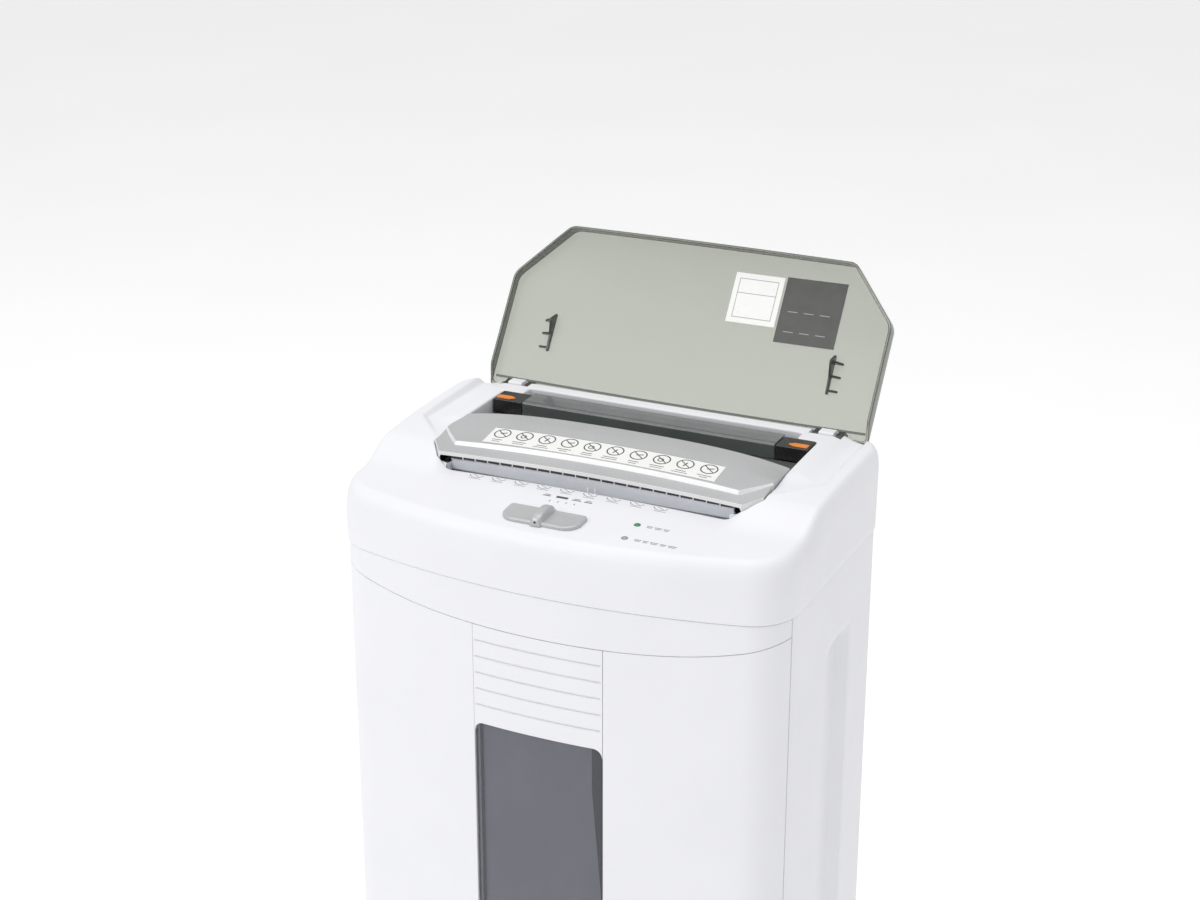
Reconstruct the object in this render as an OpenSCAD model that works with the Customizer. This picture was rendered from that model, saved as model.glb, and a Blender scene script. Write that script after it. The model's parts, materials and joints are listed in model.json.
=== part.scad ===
// Paper shredder on castors: a pull-out bin, a geared pair of cutters and an open lid.
// Every part is drawn with Y measured back from the front face; from_front() then centres it.

/* [Cabinet] */
// Overall width across the side faces
body_w = 345; // [340:1:350]
// Depth from the front face to the rear face
body_d = 232; // [231:1:234]
// Height of the parting line between cabinet and head
seam_z = 500; // [490:1:515]
// Radius of the bowed front in plan
bow_r = 580; // [560:5:640]
// Radius of the two front corners in plan
corner_r = 35; // [33:1:38]
// Wall thickness of the casings
wall = 2.6; // [2.4:0.1:2.8]

/* [Bin] */
// Width of the front window and its ribbed panel
window_w = 100; // [90:1:104]
// Lower edge of the window
window_z = 120; // [110:1:160]
// Upper edge of the window
window_top_z = 391; // [380:1:398]

/* [Lid] */
// Lean of the open lid above the horizontal
lid_lean = 55; // [50:1:60]
// Length of the lid from its hinge to its front edge
lid_len = 137.5; // [134:0.5:138]
// Width of the lid
lid_w = 313; // [310:1:314]

/* [Cutters] */
// Outside diameter of the cutting discs
disc_d = 44; // [43:0.5:44.5]
// Diameter of the core between the discs
core_d = 31.4; // [30:0.2:31.8]
// Number of discs on each shaft
disc_count = 47; // [41:1:47]

/* [Castors] */
// Diameter of each castor wheel
wheel_d = 38; // [34:1:38]
// Width of each castor wheel
wheel_w = 16; // [12:1:18]

/* [Hidden] */

$fn = 72;
half_w = body_w / 2;

// Gap at the joint lines between casings
gap = 0.4;

// Front corner centres, tangent to the side faces and to the bowed front
corner_x = half_w - corner_r;
corner_y = bow_r - sqrt(pow(bow_r - corner_r, 2) - corner_x * corner_x);
corner_angle = atan2(corner_y - bow_r, corner_x);
rear_corner_r = 28;

// The bin front ends here and the cabinet's side walls begin
split_y = 44;
head_bulge = 1.5;

// Heights above the floor
base_z = 48;
panel_z = 58;
tub_z = 64;
tub_top_z = seam_z - 86;
tub_half_w = 148;
tub_front_y = 25;
tub_rear_y = 214;

// Crown of the head, as heights above the parting line
fascia_y = 8;
fascia_z = 43.3;
fascia_end_y = 62;
fascia_tilt = 4.13;
crown_top = 63;

// Crown of the silver plate: radius across the head of its sloping front and of its raised panel,
// and the panel's middle line as Y and height above the parting line
slope_crown_r = 2500;
panel_crown_r = 1150;
panel_line = [[96.8, 65.2], [104, 66.9], [111, 68.1], [120.5, 69.2], [132, 70], [146, 70.3]];

// Slider and indicator lights, as places on the sloping fascia
slider_x = -8;
light_x = 56;
ready_y = 38;
alert_y = 17;

// Direction in which paper slides down the hand-feed slot
guide_dir = [33, -37] / norm([33, -37]);

// Lid hinge line
hinge_y = 227;
hinge_z = seam_z + 58.5;
lid_depth = 8.5;
lid_skin = 2.5;
lid_crown = 5;
pin_r = 2.5;

// The open lid reaches furthest back, so the front face stands this far ahead of the middle
rear_reach = hinge_y + lid_len * cos(lid_lean) + (lid_depth + lid_skin + lid_crown) * sin(lid_lean);
front_y = -(rear_reach - head_bulge) / 2;

// Cutter shafts
nip_y = 118;
shaft_z = seam_z - 8;
shaft_gap = 38.6;
front_shaft_y = nip_y - shaft_gap / 2;
rear_shaft_y = nip_y + shaft_gap / 2;
disc_pitch = 4.8;
disc_w = 2;
journal_r = 8;
run_gap = 0.05;
frame_x = 122;
frame_t = 3;

// Gear train: module and teeth of each pair, then the angle of each pair's line of centres
sync_m = shaft_gap / 20;
drive_m = 1.2;
drive_z = 51;
idler_z = 17;
wheel_m = 1;
idler_wheel_z = 56;
pinion_z = 14;
idler_angle = -20;
pinion_angle = -62;
idler_dist = drive_m * (drive_z + idler_z) / 2;
idler_y = rear_shaft_y + idler_dist * cos(idler_angle);
idler_zc = shaft_z + idler_dist * sin(idler_angle);
pinion_dist = wheel_m * (idler_wheel_z + pinion_z) / 2;
motor_y = idler_y + pinion_dist * cos(pinion_angle);
motor_z = idler_zc + pinion_dist * sin(pinion_angle);

// Pick-up roller above the rear cutter
pickup_y = 191;
pickup_z = seam_z + 35;
pulley_r = 10;

// Castors
castor_x = 135;
castor_front_y = 50;
castor_rear_y = 200;
castor_trail = 10;

// Mains inlet in the rear wall
inlet_x = 110;
inlet_z = seam_z - 40;

white = [0.93, 0.94, 0.95];
silver = [0.78, 0.79, 0.79];
smoke = [0.45, 0.48, 0.44, 0.5];
black = [0.08, 0.08, 0.09];
steel = [0.6, 0.61, 0.63];

// ---- Helpers ----

module from_front() {
    translate([0, front_y, 0])
        children();
}

// Turns a drawing of Y and Z into a solid that runs along X
module along_x(x0, x1) {
    translate([x0, 0, 0])
        rotate([90, 0, 90])
            linear_extrude(x1 - x0)
                children();
}

module rod_x(x0, x1, y, z, r) {
    along_x(x0, x1)
        translate([y, z])
            circle(r);
}

module cylinder_z(r, z0, z1) {
    translate([0, 0, z0])
        cylinder(r = r, h = z1 - z0);
}

module box(low, high) {
    translate(low)
        cube(high - low);
}

module both_sides() {
    children();
    mirror([1, 0, 0])
        children();
}

function arc(cx, cy, r, a0, a1, n) =
    [for (i = [0:n]) let (a = a0 + (a1 - a0) * i / n) [cx + r * cos(a), cy + r * sin(a)]];

function bezier(p0, p1, p2, p3, n) =
    [for (i = [1:n]) let (t = i / n, u = 1 - t)
        u * u * u * p0 + 3 * u * u * t * p1 + 3 * u * t * t * p2 + t * t * t * p3];

// Bowed front with its two corners, drawn in by inset, from the right side to the left
function front_curve(inset) = concat(
    arc(corner_x, corner_y, corner_r - inset, 0, corner_angle, 14),
    arc(0, bow_r, bow_r - inset, corner_angle - 1, -179 - corner_angle, 26),
    arc(-corner_x, corner_y, corner_r - inset, -180 - corner_angle, -180, 14));

function rear_curve(inset) = concat(
    arc(-half_w + rear_corner_r, body_d - rear_corner_r, rear_corner_r - inset, 180, 90, 10),
    arc(half_w - rear_corner_r, body_d - rear_corner_r, rear_corner_r - inset, 90, 0, 10));

module plan(inset) {
    polygon(concat(front_curve(inset), rear_curve(inset)));
}

// Lower edge of the band above the bin front, a shallow smile
function smile_z(x) = seam_z - 31.9 + 0.000274 * x * x + 0.0000000114 * pow(x, 4);

module below_smile(drop) {
    along = [for (x = [-180:6:180]) [x, smile_z(x) - drop]];
    translate([0, 60, 0])
        rotate([90, 0, 0])
            linear_extrude(80)
                polygon(concat(along, [[180, 0], [-180, 0]]));
}

// Involute gear outline: m module, z teeth, phase the angle of the first tooth
function inv_deg(a) = tan(a) * 180 / PI - a;
function half_tooth(rho, m, z) =
    let (rp = m * z / 2, rb = rp * cos(20), a = rho > rb ? acos(rb / rho) : 0)
    90 / z - 0.09 / rp * 180 / PI + inv_deg(20) - inv_deg(a);

module gear_outline(m, z, phase) {
    rp = m * z / 2;
    radii = [rp - 1.25 * m, max(rp - 1.24 * m, rp * cos(20)), rp - 0.35 * m, rp, rp + 0.5 * m, rp + 0.96 * m];
    polygon([
        for (i = [0:z - 1], side = [-1, 1], k = [0:5])
            let (rho = radii[side < 0 ? k : 5 - k],
                 a = phase + 360 / z * i + side * half_tooth(rho, m, z))
            [rho * cos(a), rho * sin(a)]
    ]);
}

module gear_x(x0, x1, y, z, m, teeth, phase, bore) {
    along_x(x0, x1)
        translate([y, z])
            difference() {
                gear_outline(m, teeth, phase);
                circle(bore);
            }
}

// ---- Cabinet and base ----

module flute() {
    // Tapering finger recess in each side face
    linear_extrude(seam_z - 142)
        polygon([[half_w + 1, 105], [half_w, 108], [half_w - 6, 160], [half_w + 1, 167]]);
}

module cabinet_shell() {
    color(white) from_front() difference() {
        union() {
            translate([0, 0, base_z])
                linear_extrude(seam_z - base_z - gap)
                    difference() {
                        plan(0);
                        plan(wall);
                        translate([-200, -20])
                            square([400, split_y + 20 + gap]);
                    }
            both_sides()
                box([half_w - 9, 100, 84], [half_w - 1, 176, seam_z - 50]);
        }
        both_sides()
            translate([0, 0, 88])
                flute();
        box([inlet_x - 14, body_d - 6, inlet_z - 11], [inlet_x + 14, body_d + 2, inlet_z + 11]);
    }
}

module castor_boss_positions() {
    for (x = [-castor_x, castor_x], y = [castor_front_y, castor_rear_y])
        translate([x, y, 0])
            children();
}

module base_plate() {
    color(white) from_front() difference() {
        union() {
            translate([0, 0, base_z])
                linear_extrude(3)
                    plan(3.1);
            translate([0, 0, base_z])
                linear_extrude(panel_z - base_z - 0.6)
                    difference() {
                        plan(0);
                        plan(3.2);
                        translate([-200, split_y])
                            square([400, 300]);
                    }
            castor_boss_positions()
                translate([0, 0, base_z])
                    cylinder(r = 8, h = 15);
        }
        castor_boss_positions()
            translate([0, 0, base_z - 1])
                cylinder(r = 4.5 + run_gap, h = 14);
    }
}

module bin_runners() {
    color(steel) from_front() both_sides() {
        box([tub_half_w + 0.6, 48, base_z + 3.1], [tub_half_w + 5, 224, base_z + 24]);
        box([tub_half_w - 3, 48, base_z + 3.1], [tub_half_w + 0.7, 184, tub_z - 0.4]);
    }
}

// ---- Castors ----

module castor_fork(x, y) {
    wheel_r = wheel_d / 2;
    cheek = wheel_w / 2 + 0.8;
    color(black) from_front() translate([x, y, 0]) {
        cylinder_z(4.5, base_z - 3, base_z + 11);
        cylinder_z(12, base_z - 7, base_z - 1.5);
        both_sides()
            along_x(cheek, cheek + 2.4)
                hull() {
                    translate([0, base_z - 6])
                        square([18, 6], center = true);
                    translate([castor_trail, wheel_r])
                        circle(5.5, $fn = 40);
                }
        translate([0, 0, base_z - 7.4])
            box([-cheek - 2.4, -9, 0], [cheek + 2.4, 9, 2.6]);
        rod_x(-cheek - 3.4, cheek + 3.4, castor_trail, wheel_r, 2.5);
    }
}

module castor_wheel(x, y) {
    wheel_r = wheel_d / 2;
    edge = 2.2;
    profile = concat(
        [[2.5 + run_gap, -wheel_w / 2], [wheel_r - edge, -wheel_w / 2]],
        arc(wheel_r - edge, -wheel_w / 2 + edge, edge, -90, 0, 5),
        arc(wheel_r - edge, wheel_w / 2 - edge, edge, 0, 90, 5),
        [[2.5 + run_gap, wheel_w / 2]]);
    color([0.25, 0.25, 0.26]) from_front()
        translate([x, y + castor_trail, wheel_r])
            rotate([0, 90, 0])
                difference() {
                    rotate_extrude()
                        polygon(profile);
                    for (side = [-1, 1])
                        translate([0, 0, side * wheel_w / 2])
                            difference() {
                                cylinder(r = wheel_r - 5, h = 4, center = true);
                                cylinder(r = 5.5, h = 5, center = true);
                            }
                }
}

// ---- Bin and its front ----

module front_shell(inset, thick, z0, z1) {
    translate([0, 0, z0])
        linear_extrude(z1 - z0)
            difference() {
                plan(inset);
                plan(inset + thick);
                translate([-200, split_y - gap])
                    square([400, 300]);
            }
}

module drawer_panel() {
    color(white) from_front() difference() {
        intersection() {
            front_shell(0, 3, panel_z, seam_z);
            below_smile(gap);
        }
        box([-window_w / 2 - 0.3, -5, window_z], [window_w / 2 + 0.3, 20, seam_z]);
    }
}

module drawer_band() {
    color(white) from_front() difference() {
        front_shell(0, 3, seam_z - 40, seam_z - gap);
        below_smile(0);
    }
}

module column_panel() {
    groove = 12.6;
    corner = 7;
    color(white) from_front() difference() {
        intersection() {
            front_shell(0, 3, window_top_z - corner, seam_z);
            below_smile(gap);
            box([-window_w / 2, -5, 0], [window_w / 2, 20, seam_z]);
        }
        for (i = [0:4])
            box([-80, -5, seam_z - 44.2 - groove * i], [80, 2, seam_z - 43 - groove * i]);
        rotate([90, 0, 0])
            translate([0, 0, -20])
                linear_extrude(40)
                    window_shape(0);
    }
}

module window_shape(inset) {
    corner = 7;
    offset(r = corner - inset, $fn = 48)
        offset(delta = -corner)
            translate([-window_w / 2, window_z + 0.4])
                square([window_w, window_top_z - window_z]);
}

module window_pane() {
    color([0.2, 0.21, 0.22, 0.6]) from_front() {
        intersection() {
            front_shell(1, 2, window_z, window_top_z);
            rotate([90, 0, 0])
                translate([0, 0, -20])
                    linear_extrude(40)
                        window_shape(0.3);
        }
        translate([0, tub_front_y - 0.2, 0])
            rotate([90, 0, 0])
                linear_extrude(tub_front_y - 4)
                    difference() {
                        window_shape(1.6);
                        window_shape(3.4);
                    }
    }
}

module bin_tub() {
    w = 2.5;
    color([0.8, 0.81, 0.82]) from_front() difference() {
        box([-tub_half_w, tub_front_y, tub_z], [tub_half_w, tub_rear_y, tub_top_z]);
        box([-tub_half_w + w, tub_front_y + w, tub_z + w], [tub_half_w - w, tub_rear_y - w, tub_top_z + 1]);
        translate([0, tub_front_y + w + 1, 0])
            rotate([90, 0, 0])
                linear_extrude(w + 2)
                    window_shape(4);
    }
}

module bin_magnet() {
    color(steel) from_front()
        box([60, tub_rear_y + 0.1, tub_top_z - 22], [76, tub_rear_y + 2.6, tub_top_z - 10]);
}

module bin_sensor() {
    color(black) from_front() {
        box([56, tub_rear_y + 4.2, tub_top_z - 26], [80, tub_rear_y + 10, tub_top_z - 6]);
        box([50, tub_rear_y + 9.9, tub_top_z - 30], [86, body_d - wall - 0.1, tub_top_z - 2]);
    }
}

// ---- Head ----

function crown_side(low) = concat(
    [[-2, low], [-2.4, 17]],
    bezier([-2.4, 17], [-2, 33], [0, 41], [fascia_y, fascia_z], 10),
    [[fascia_end_y, 47.2]],
    bezier([fascia_end_y, 47.2], [74, 48.2], [82, 57], [97, 59.8], 10),
    bezier([97, 59.8], [120, 62.4], [150, crown_top], [190, crown_top], 10),
    bezier([190, crown_top], [214, crown_top], [body_d + 1.5, 62], [body_d + 1.5, 42], 12),
    [[body_d + 1.5, low]]);

function crown_front_half(low) = concat(
    [[half_w + 1.2, low], [half_w + 1.8, 20]],
    bezier([half_w + 1.8, 20], [half_w + 1.8, 40], [170, 60], [152, 64], 14));

module head_solid(inset, low) {
    half = crown_front_half(low);
    mirrored = [for (i = [len(half) - 1:-1:0]) [-half[i][0], half[i][1]]];
    translate([0, 0, seam_z])
        intersection() {
            translate([0, 0, -20])
                linear_extrude(100)
                    plan(inset - head_bulge);
            along_x(-200, 200)
                offset(delta = -inset)
                    polygon(crown_side(low));
            translate([0, 280, 0])
                rotate([90, 0, 0])
                    linear_extrude(320)
                        offset(delta = -inset)
                            polygon(concat(half, mirrored));
        }
}

module hopper_shape(grow) {
    right = [[111, 78.5], [119.5, 82.3], [129.2, 95.2], [128.2, 204], [112, 205], [112, 217]];
    left = [for (i = [len(right) - 1:-1:0]) [-right[i][0], right[i][1]]];
    offset(delta = grow)
        polygon(concat(right, left));
}

// Outline of the closed lid seen from above, with the hinge at the rear
module lid_outline(inset) {
    bow = [for (i = [-10:10]) [11.8 * i, lid_len - 1.5 * i * i / 100]];
    offset(delta = -inset)
        polygon(concat([[-lid_w / 2, 4], [-lid_w / 2, 91.5]], bow, [[lid_w / 2, 91.5], [lid_w / 2, 4]]));
}

module lid_groove(grow) {
    // The lid's rim drops into this shallow channel around the hopper
    translate([0, hinge_y, seam_z + 57.9])
        rotate([-0.96, 0, 0])
            linear_extrude(20)
                mirror([0, 1])
                    difference() {
                        union() {
                            lid_outline(-1.2 - grow);
                            translate([-lid_w / 2 - 1.2 - grow, -12])
                                square([lid_w + 2.4 + 2 * grow, 18]);
                        }
                        difference() {
                            lid_outline(4 + grow);
                            translate([-200, -10])
                                square([400, 24]);
                        }
                    }
}

module on_fascia() {
    translate([0, fascia_y, seam_z + fascia_z])
        rotate([fascia_tilt, 0, 0])
            children();
}

module head_casing() {
    color(white) from_front() difference() {
        head_solid(0, gap);
        // Hollow inside, apart from the skirt round the hopper, the shelf ahead of the hand slot
        // and the floors of the lid's channel and hinge pockets
        difference() {
            head_solid(wall, -10);
            translate([0, 0, -wall])
                lid_groove(wall);
            both_sides()
                box([113, 216.4, seam_z + 46.4], [143, 245, seam_z + 75]);
            translate([0, 0, seam_z + 46.6])
                linear_extrude(60)
                    hopper_shape(2.4);
            translate([0, 0, seam_z])
                along_x(-113.4, 113.4)
                    polygon([[58, 44.4], [82, 46], [82, 70], [58, 70]]);
        }
        translate([0, 0, seam_z - 20])
            linear_extrude(120)
                hopper_shape(0);
        // The fascia runs on level to the hand-feed slot
        along_x(-111, 111)
            translate([0, seam_z])
                polygon([[fascia_end_y, 47.2], [82, 48.6], [82, 70], [fascia_end_y, 70]]);
        lid_groove(0);
        both_sides()
            box([115.5, 219, seam_z + 49], [140.5, 245, seam_z + 75]);
        on_fascia() {
            box([-16.2, 20, -10], [6.9, 24.4, 10]);
            for (y = [ready_y, alert_y])
                translate([light_x, y, -10])
                    cylinder(r = 2.75, h = 20);
        }
    }
}

module head_base() {
    color(white) from_front() difference() {
        union() {
            translate([0, 0, seam_z + 1])
                linear_extrude(3)
                    plan(2);
            for (x = [-54, 84], y = [18, 46])
                translate([x, y, 0])
                    cylinder_z(3, seam_z + 3, seam_z + 23.8);
        }
        box([-158, 60, seam_z - 5], [158, 213, seam_z + 10]);
        for (x = [-140, 140], y = [54, 216])
            translate([x, y, seam_z])
                cylinder(r = 1.7, h = 8);
    }
}

// Sweeps a drawing of Y and height round a distant axis along Y, so it falls away to both sides
module crowned(r) {
    translate([0, 0, seam_z - r])
        rotate([-90, 0, 0])
            rotate([0, 0, -98])
                rotate_extrude(angle = 16, $fn = 720)
                    translate([r, 0])
                        mirror([1, -1])
                            children();
}

function lowered(line, drop) = [for (i = [len(line) - 1:-1:0]) line[i] - [0, drop]];

module silver_plate() {
    color(silver) from_front() intersection() {
        union() {
            crowned(slope_crown_r)
                polygon([[81.2, 57.4], [96.6, 60.4], [96.6, 58.2], [81.2, 55.2]]);
            crowned(panel_crown_r)
                polygon(concat([[94.8, 59.6]], panel_line, lowered(panel_line, 2.2), [[96.8, 59]]));
        }
        translate([0, 0, seam_z])
            linear_extrude(80)
                offset(delta = -0.4)
                    intersection() {
                        hopper_shape(0);
                        translate([-127.5, 60])
                            square([255, 84]);
                    }
    }
}

module symbol_label() {
    on_panel = [for (i = [1:3]) panel_line[i]];
    face = concat([panel_line[0] + [0.9, 0.21]], on_panel);
    color([0.93, 0.93, 0.9]) from_front() intersection() {
        crowned(panel_crown_r)
            polygon(concat(lowered(lowered(face, -0.35), 0), lowered(face, -0.05)));
        box([-91, 90, seam_z], [91, 130, seam_z + 80]);
    }
}

module slanted_plate(p0, length, thick, x) {
    side = [guide_dir[1], -guide_dir[0]];
    along_x(-x, x)
        translate([0, seam_z])
            polygon([p0, p0 + guide_dir * length, p0 + guide_dir * length + side * thick, p0 + side * thick]);
}

module slot_front_guide() {
    color([0.75, 0.77, 0.82]) from_front()
        slanted_plate([80.2, 45.6], 32, 1.8, 110.4);
}

module slot_rear_guide() {
    rib = 10.2;
    side = [guide_dir[1], -guide_dir[0]];
    color([0.8, 0.82, 0.87]) from_front() {
        slanted_plate([89.5, 53], 46, 1.8, 110.4);
        for (i = [-10:10])
            along_x(i * rib - 0.7, i * rib + 0.7)
                translate([0, seam_z])
                    polygon([[89.5, 53] + side * 1.7, [89.5, 53] + side * 3.6,
                             [89.5, 53] + guide_dir * 30 + side * 1.7]);
    }
}

module inner_cover() {
    color([0.2, 0.24, 0.22, 0.8]) from_front() {
        translate([0, 0, seam_z]) {
            box([-102.4, 184, 62.2], [102.4, 206, 64]);
            box([-102.4, 184, 50.4], [102.4, 186, 62.3]);
            box([-126.6, 150, 50.4], [126.6, 184.1, 52.2]);
        }
    }
}

module end_blocks() {
    color(black) from_front() both_sides()
        translate([0, 0, seam_z]) {
            difference() {
                box([102.8, 184.3, 53], [127.6, 203.4, 63.4]);
                translate([0, 0, 62.8])
                    linear_extrude(3)
                        arrow_shape(0.15);
            }
            box([102.8, 195, 40], [110.8, 203.3, 53.1]);
        }
}

module arrow_shape(grow) {
    offset(delta = grow)
        polygon([[126, 186.5], [126, 192.5], [114, 192.5], [110, 189.5], [114, 186.5]]);
}

module feed_arrows() {
    color([0.92, 0.55, 0.16]) from_front() both_sides()
        translate([0, 0, seam_z + 62.85])
            linear_extrude(0.9)
                arrow_shape(0);
}

module stack_guide() {
    top = [[214.6, 57], [214.6, 21.8], [206, 20.8], [146, 15.9]];
    color([0.3, 0.31, 0.32]) from_front()
        translate([0, 0, seam_z])
            along_x(-110, 110)
                polygon(concat(top, [[146, 14.4], [206, 19.3], [214, 20.2], [216.1, 21.8], [216.1, 57]]));
}

// ---- Lid ----

module in_lid() {
    translate([0, hinge_y, hinge_z])
        rotate([lid_lean, 0, 0])
            children();
}

// Everything inside the lid's crowned skin, which lies that deep at the two sides
module inside_lid(depth) {
    curve = [for (i = [-20:20]) let (x = 8 * i) [x, -depth - lid_crown * (1 - pow(2 * x / lid_w, 2))]];
    rotate([90, 0, 0])
        translate([0, 0, -150])
            linear_extrude(170)
                polygon(concat(curve, [[160, 5], [-160, 5]]));
}

module within_lid(depth) {
    intersection() {
        translate([0, 0, -25])
            linear_extrude(26)
                children();
        inside_lid(depth);
    }
}

module knuckle_strips(length) {
    both_sides()
        for (x = [116.5, 134.5])
            translate([x, -5])
                square([5, length]);
}

module lid() {
    color(smoke) from_front() in_lid() {
        difference() {
            intersection() {
                translate([0, 0, -25])
                    linear_extrude(25)
                        lid_outline(0);
                inside_lid(lid_depth + lid_skin);
            }
            within_lid(lid_depth)
                difference() {
                    lid_outline(2.2);
                    knuckle_strips(15);
                }
            within_lid(lid_depth)
                difference() {
                    translate([-lid_w / 2 + 2.2, -1])
                        square([lid_w - 4.4, 16]);
                    knuckle_strips(25);
                }
            both_sides()
                for (x = [116.5, 134.5])
                    along_x(x - 0.1, x + 5.1)
                        polygon([[4.6, 2], [16, 2], [16, -3], [12, -5.5], [8, -3]]);
        }
        both_sides()
            for (x = [116.5, 134.5])
                difference() {
                    along_x(x, x + 5)
                        union() {
                            circle(4.6, $fn = 48);
                            polygon([[-3.4, -3], [-1, -11.6], [6, -11.6], [6, 0], [0, 4]]);
                        }
                    rod_x(x - 1, x + 6, 0, 0, pin_r);
                }
    }
}

module lid_pins() {
    color(steel) from_front() in_lid() both_sides()
        rod_x(116.7, 139.3, 0, 0, pin_r);
}

module hinge_brackets() {
    color(white) from_front() both_sides()
        difference() {
            union() {
                along_x(122.2, 133.8)
                    translate([hinge_y, hinge_z])
                        circle(5);
                box([122.2, hinge_y - 7.5, seam_z + 49.3], [133.8, hinge_y + 4.2, hinge_z]);
            }
            rod_x(120, 136, hinge_y, hinge_z, pin_r + run_gap);
        }
}

module lid_guides() {
    profile = [[34, -4], [34, 2.2], [47, 4.2], [57, 9], [59, 9], [66, 0], [66, -4]];
    color([0.3, 0.32, 0.3]) from_front() in_lid() both_sides() intersection() {
        translate([0, 0, -lid_depth]) {
            along_x(115, 117)
                polygon(profile);
            for (fin = [[37, 2.6], [48, 4.6], [58.6, 8]])
                translate([116.9, fin[0] + 0.8, 0])
                    rotate([90, 0, 0])
                        linear_extrude(1.6)
                            polygon([[0, -4], [7, -4], [7, 1.2], [0, fin[1]]]);
        }
        inside_lid(lid_depth - 0.02);
    }
}

module lid_labels() {
    color([0.3, 0.3, 0.29]) from_front() in_lid() difference() {
        within_lid(lid_depth - 0.03) {
            translate([64, 69])
                square([49, 52]);
            translate([22, 80])
                square([40, 40]);
        }
        inside_lid(lid_depth - 0.3);
    }
}

// ---- Controls ----

module slider_shape() {
    front_r = 11;
    back_r = 3;
    hull() {
        for (side = [-1, 1]) {
            translate([side * (29 - front_r), 11 + front_r])
                circle(front_r, $fn = 48);
            translate([side * (29 - back_r), 33 - back_r])
                circle(back_r, $fn = 32);
        }
    }
}

module mode_slider() {
    ridge = concat([[9.5, 0.4]], bezier([9.5, 0.4], [9.5, 5], [12, 8], [20, 8], 8),
                   bezier([20, 8], [29, 8], [34.5, 6], [34.5, 0.4], 8));
    color(silver) from_front() on_fascia() {
        translate([slider_x, 0, 0.4]) {
            linear_extrude(2.2)
                slider_shape();
            along_x(-4.5, 4.5)
                polygon(ridge);
            box([-1.6, 20.5, -6.2], [1.6, 23.9, 0.1]);
        }
    }
}

module mode_switch() {
    color(black) from_front()
        box([-26, 22, seam_z + 25.8], [22, 38, seam_z + 36.6]);
}

module light_pipe(y) {
    from_front() on_fascia()
        translate([light_x, y, -16])
            cylinder(r = 2.5, h = 16.5);
}

module ready_light() {
    color([0.2, 0.65, 0.3])
        light_pipe(ready_y);
}

module alert_light() {
    color([0.6, 0.6, 0.62])
        light_pipe(alert_y);
}

module control_board() {
    color([0.1, 0.4, 0.25]) from_front() translate([0, 0, seam_z]) {
        box([-60, 12, 24], [90, 52, 25.6]);
        for (x = [-52:14:-38])
            translate([x, 44, 0])
                cylinder_z(4.5, 25.5, 33);
        box([66, 16, 25.5], [84, 34, 31]);
        box([36, 14, 25.5], [48, 46, 27.8]);
    }
}

// ---- Cutting mechanism ----

module side_frame(side) {
    difference() {
        union() {
            along_x(frame_x, frame_x + frame_t)
                polygon([[66, seam_z - 44], [160, seam_z - 44], [168, seam_z - 80], [212, seam_z - 80],
                         [212, seam_z + 46], [110, seam_z + 46], [66, seam_z + 20]]);
            for (y = [[48, 67], [211, 223]])
                box([frame_x, y[0], seam_z + 4.1], [frame_x + 30, y[1], seam_z + 7]);
        }
        for (y = [front_shaft_y, rear_shaft_y])
            rod_x(frame_x - 1, frame_x + frame_t + 1, y, shaft_z, 11);
        rod_x(frame_x - 1, frame_x + frame_t + 1, pickup_y, pickup_z, 4 + run_gap);
        if (side < 0)
            rod_x(frame_x - 1, frame_x + frame_t + 1, motor_y, motor_z, 5);
        for (y = [54, 216])
            translate([140, y, seam_z])
                cylinder(r = 2.2, h = 10);
    }
    if (side < 0)
        rod_x(frame_x + frame_t - 0.1, frame_x + 25, idler_y, idler_zc, 4);
}

module side_frame_left() {
    color(steel) from_front()
        mirror([1, 0, 0])
            side_frame(-1);
}

module side_frame_right() {
    color(steel) from_front()
        side_frame(1);
}

module tie_rods() {
    color(steel) from_front()
        for (p = [[74, -37], [163, -36], [200, 0]])
            rod_x(-frame_x + 0.02, frame_x - 0.02, p[0], seam_z + p[1], 4);
}

function disc_x(i, shift) = (i - (disc_count - 1) / 2) * disc_pitch + shift;

module cutter(y, shift, left_end, right_end) {
    r = disc_d / 2;
    core = core_d / 2;
    rings = [for (i = [0:disc_count - 1], p = [[core, -1], [r, -1], [r, 1], [core, 1]])
        [p[0], disc_x(i, shift) + p[1] * disc_w / 2]];
    profile = concat([[0, left_end], [journal_r, left_end], [journal_r, -116], [core, -116]], rings,
                     [[core, 116], [journal_r, 116], [journal_r, right_end], [0, right_end]]);
    translate([0, y, shaft_z])
        rotate([0, 90, 0])
            rotate_extrude()
                polygon(profile);
}

module cutter_front() {
    color(steel) from_front()
        cutter(front_shaft_y, 0, -126.6, 137);
}

module cutter_rear() {
    color(steel) from_front()
        cutter(rear_shaft_y, disc_pitch / 2, -139, 145);
}

// Comb whose fingers reach between the discs; side is -1 ahead of the shaft, 1 behind it
module stripper(y, shift, side) {
    difference() {
        union() {
            translate([0, y + side * 28.5, shaft_z])
                cube([2 * frame_x - 0.2, 5, 24], center = true);
            for (i = [0:disc_count - 2])
                translate([disc_x(i, shift) + disc_pitch / 2, y + side * 19, shaft_z])
                    cube([1.8, 15, 14], center = true);
        }
        rod_x(-120, 120, y, shaft_z, core_d / 2 + 0.6);
    }
}

module stripper_front() {
    color(steel) from_front()
        stripper(front_shaft_y, 0, -1);
}

module stripper_rear() {
    color(steel) from_front()
        stripper(rear_shaft_y, disc_pitch / 2, 1);
}

module shaft_bushes() {
    color([0.7, 0.55, 0.25]) from_front() both_sides()
        for (y = [front_shaft_y, rear_shaft_y])
            difference() {
                rod_x(frame_x - 1.5, frame_x + frame_t + 0.8, y, shaft_z, 10.98);
                rod_x(frame_x - 3, frame_x + frame_t + 3, y, shaft_z, journal_r + run_gap);
            }
}

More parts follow.
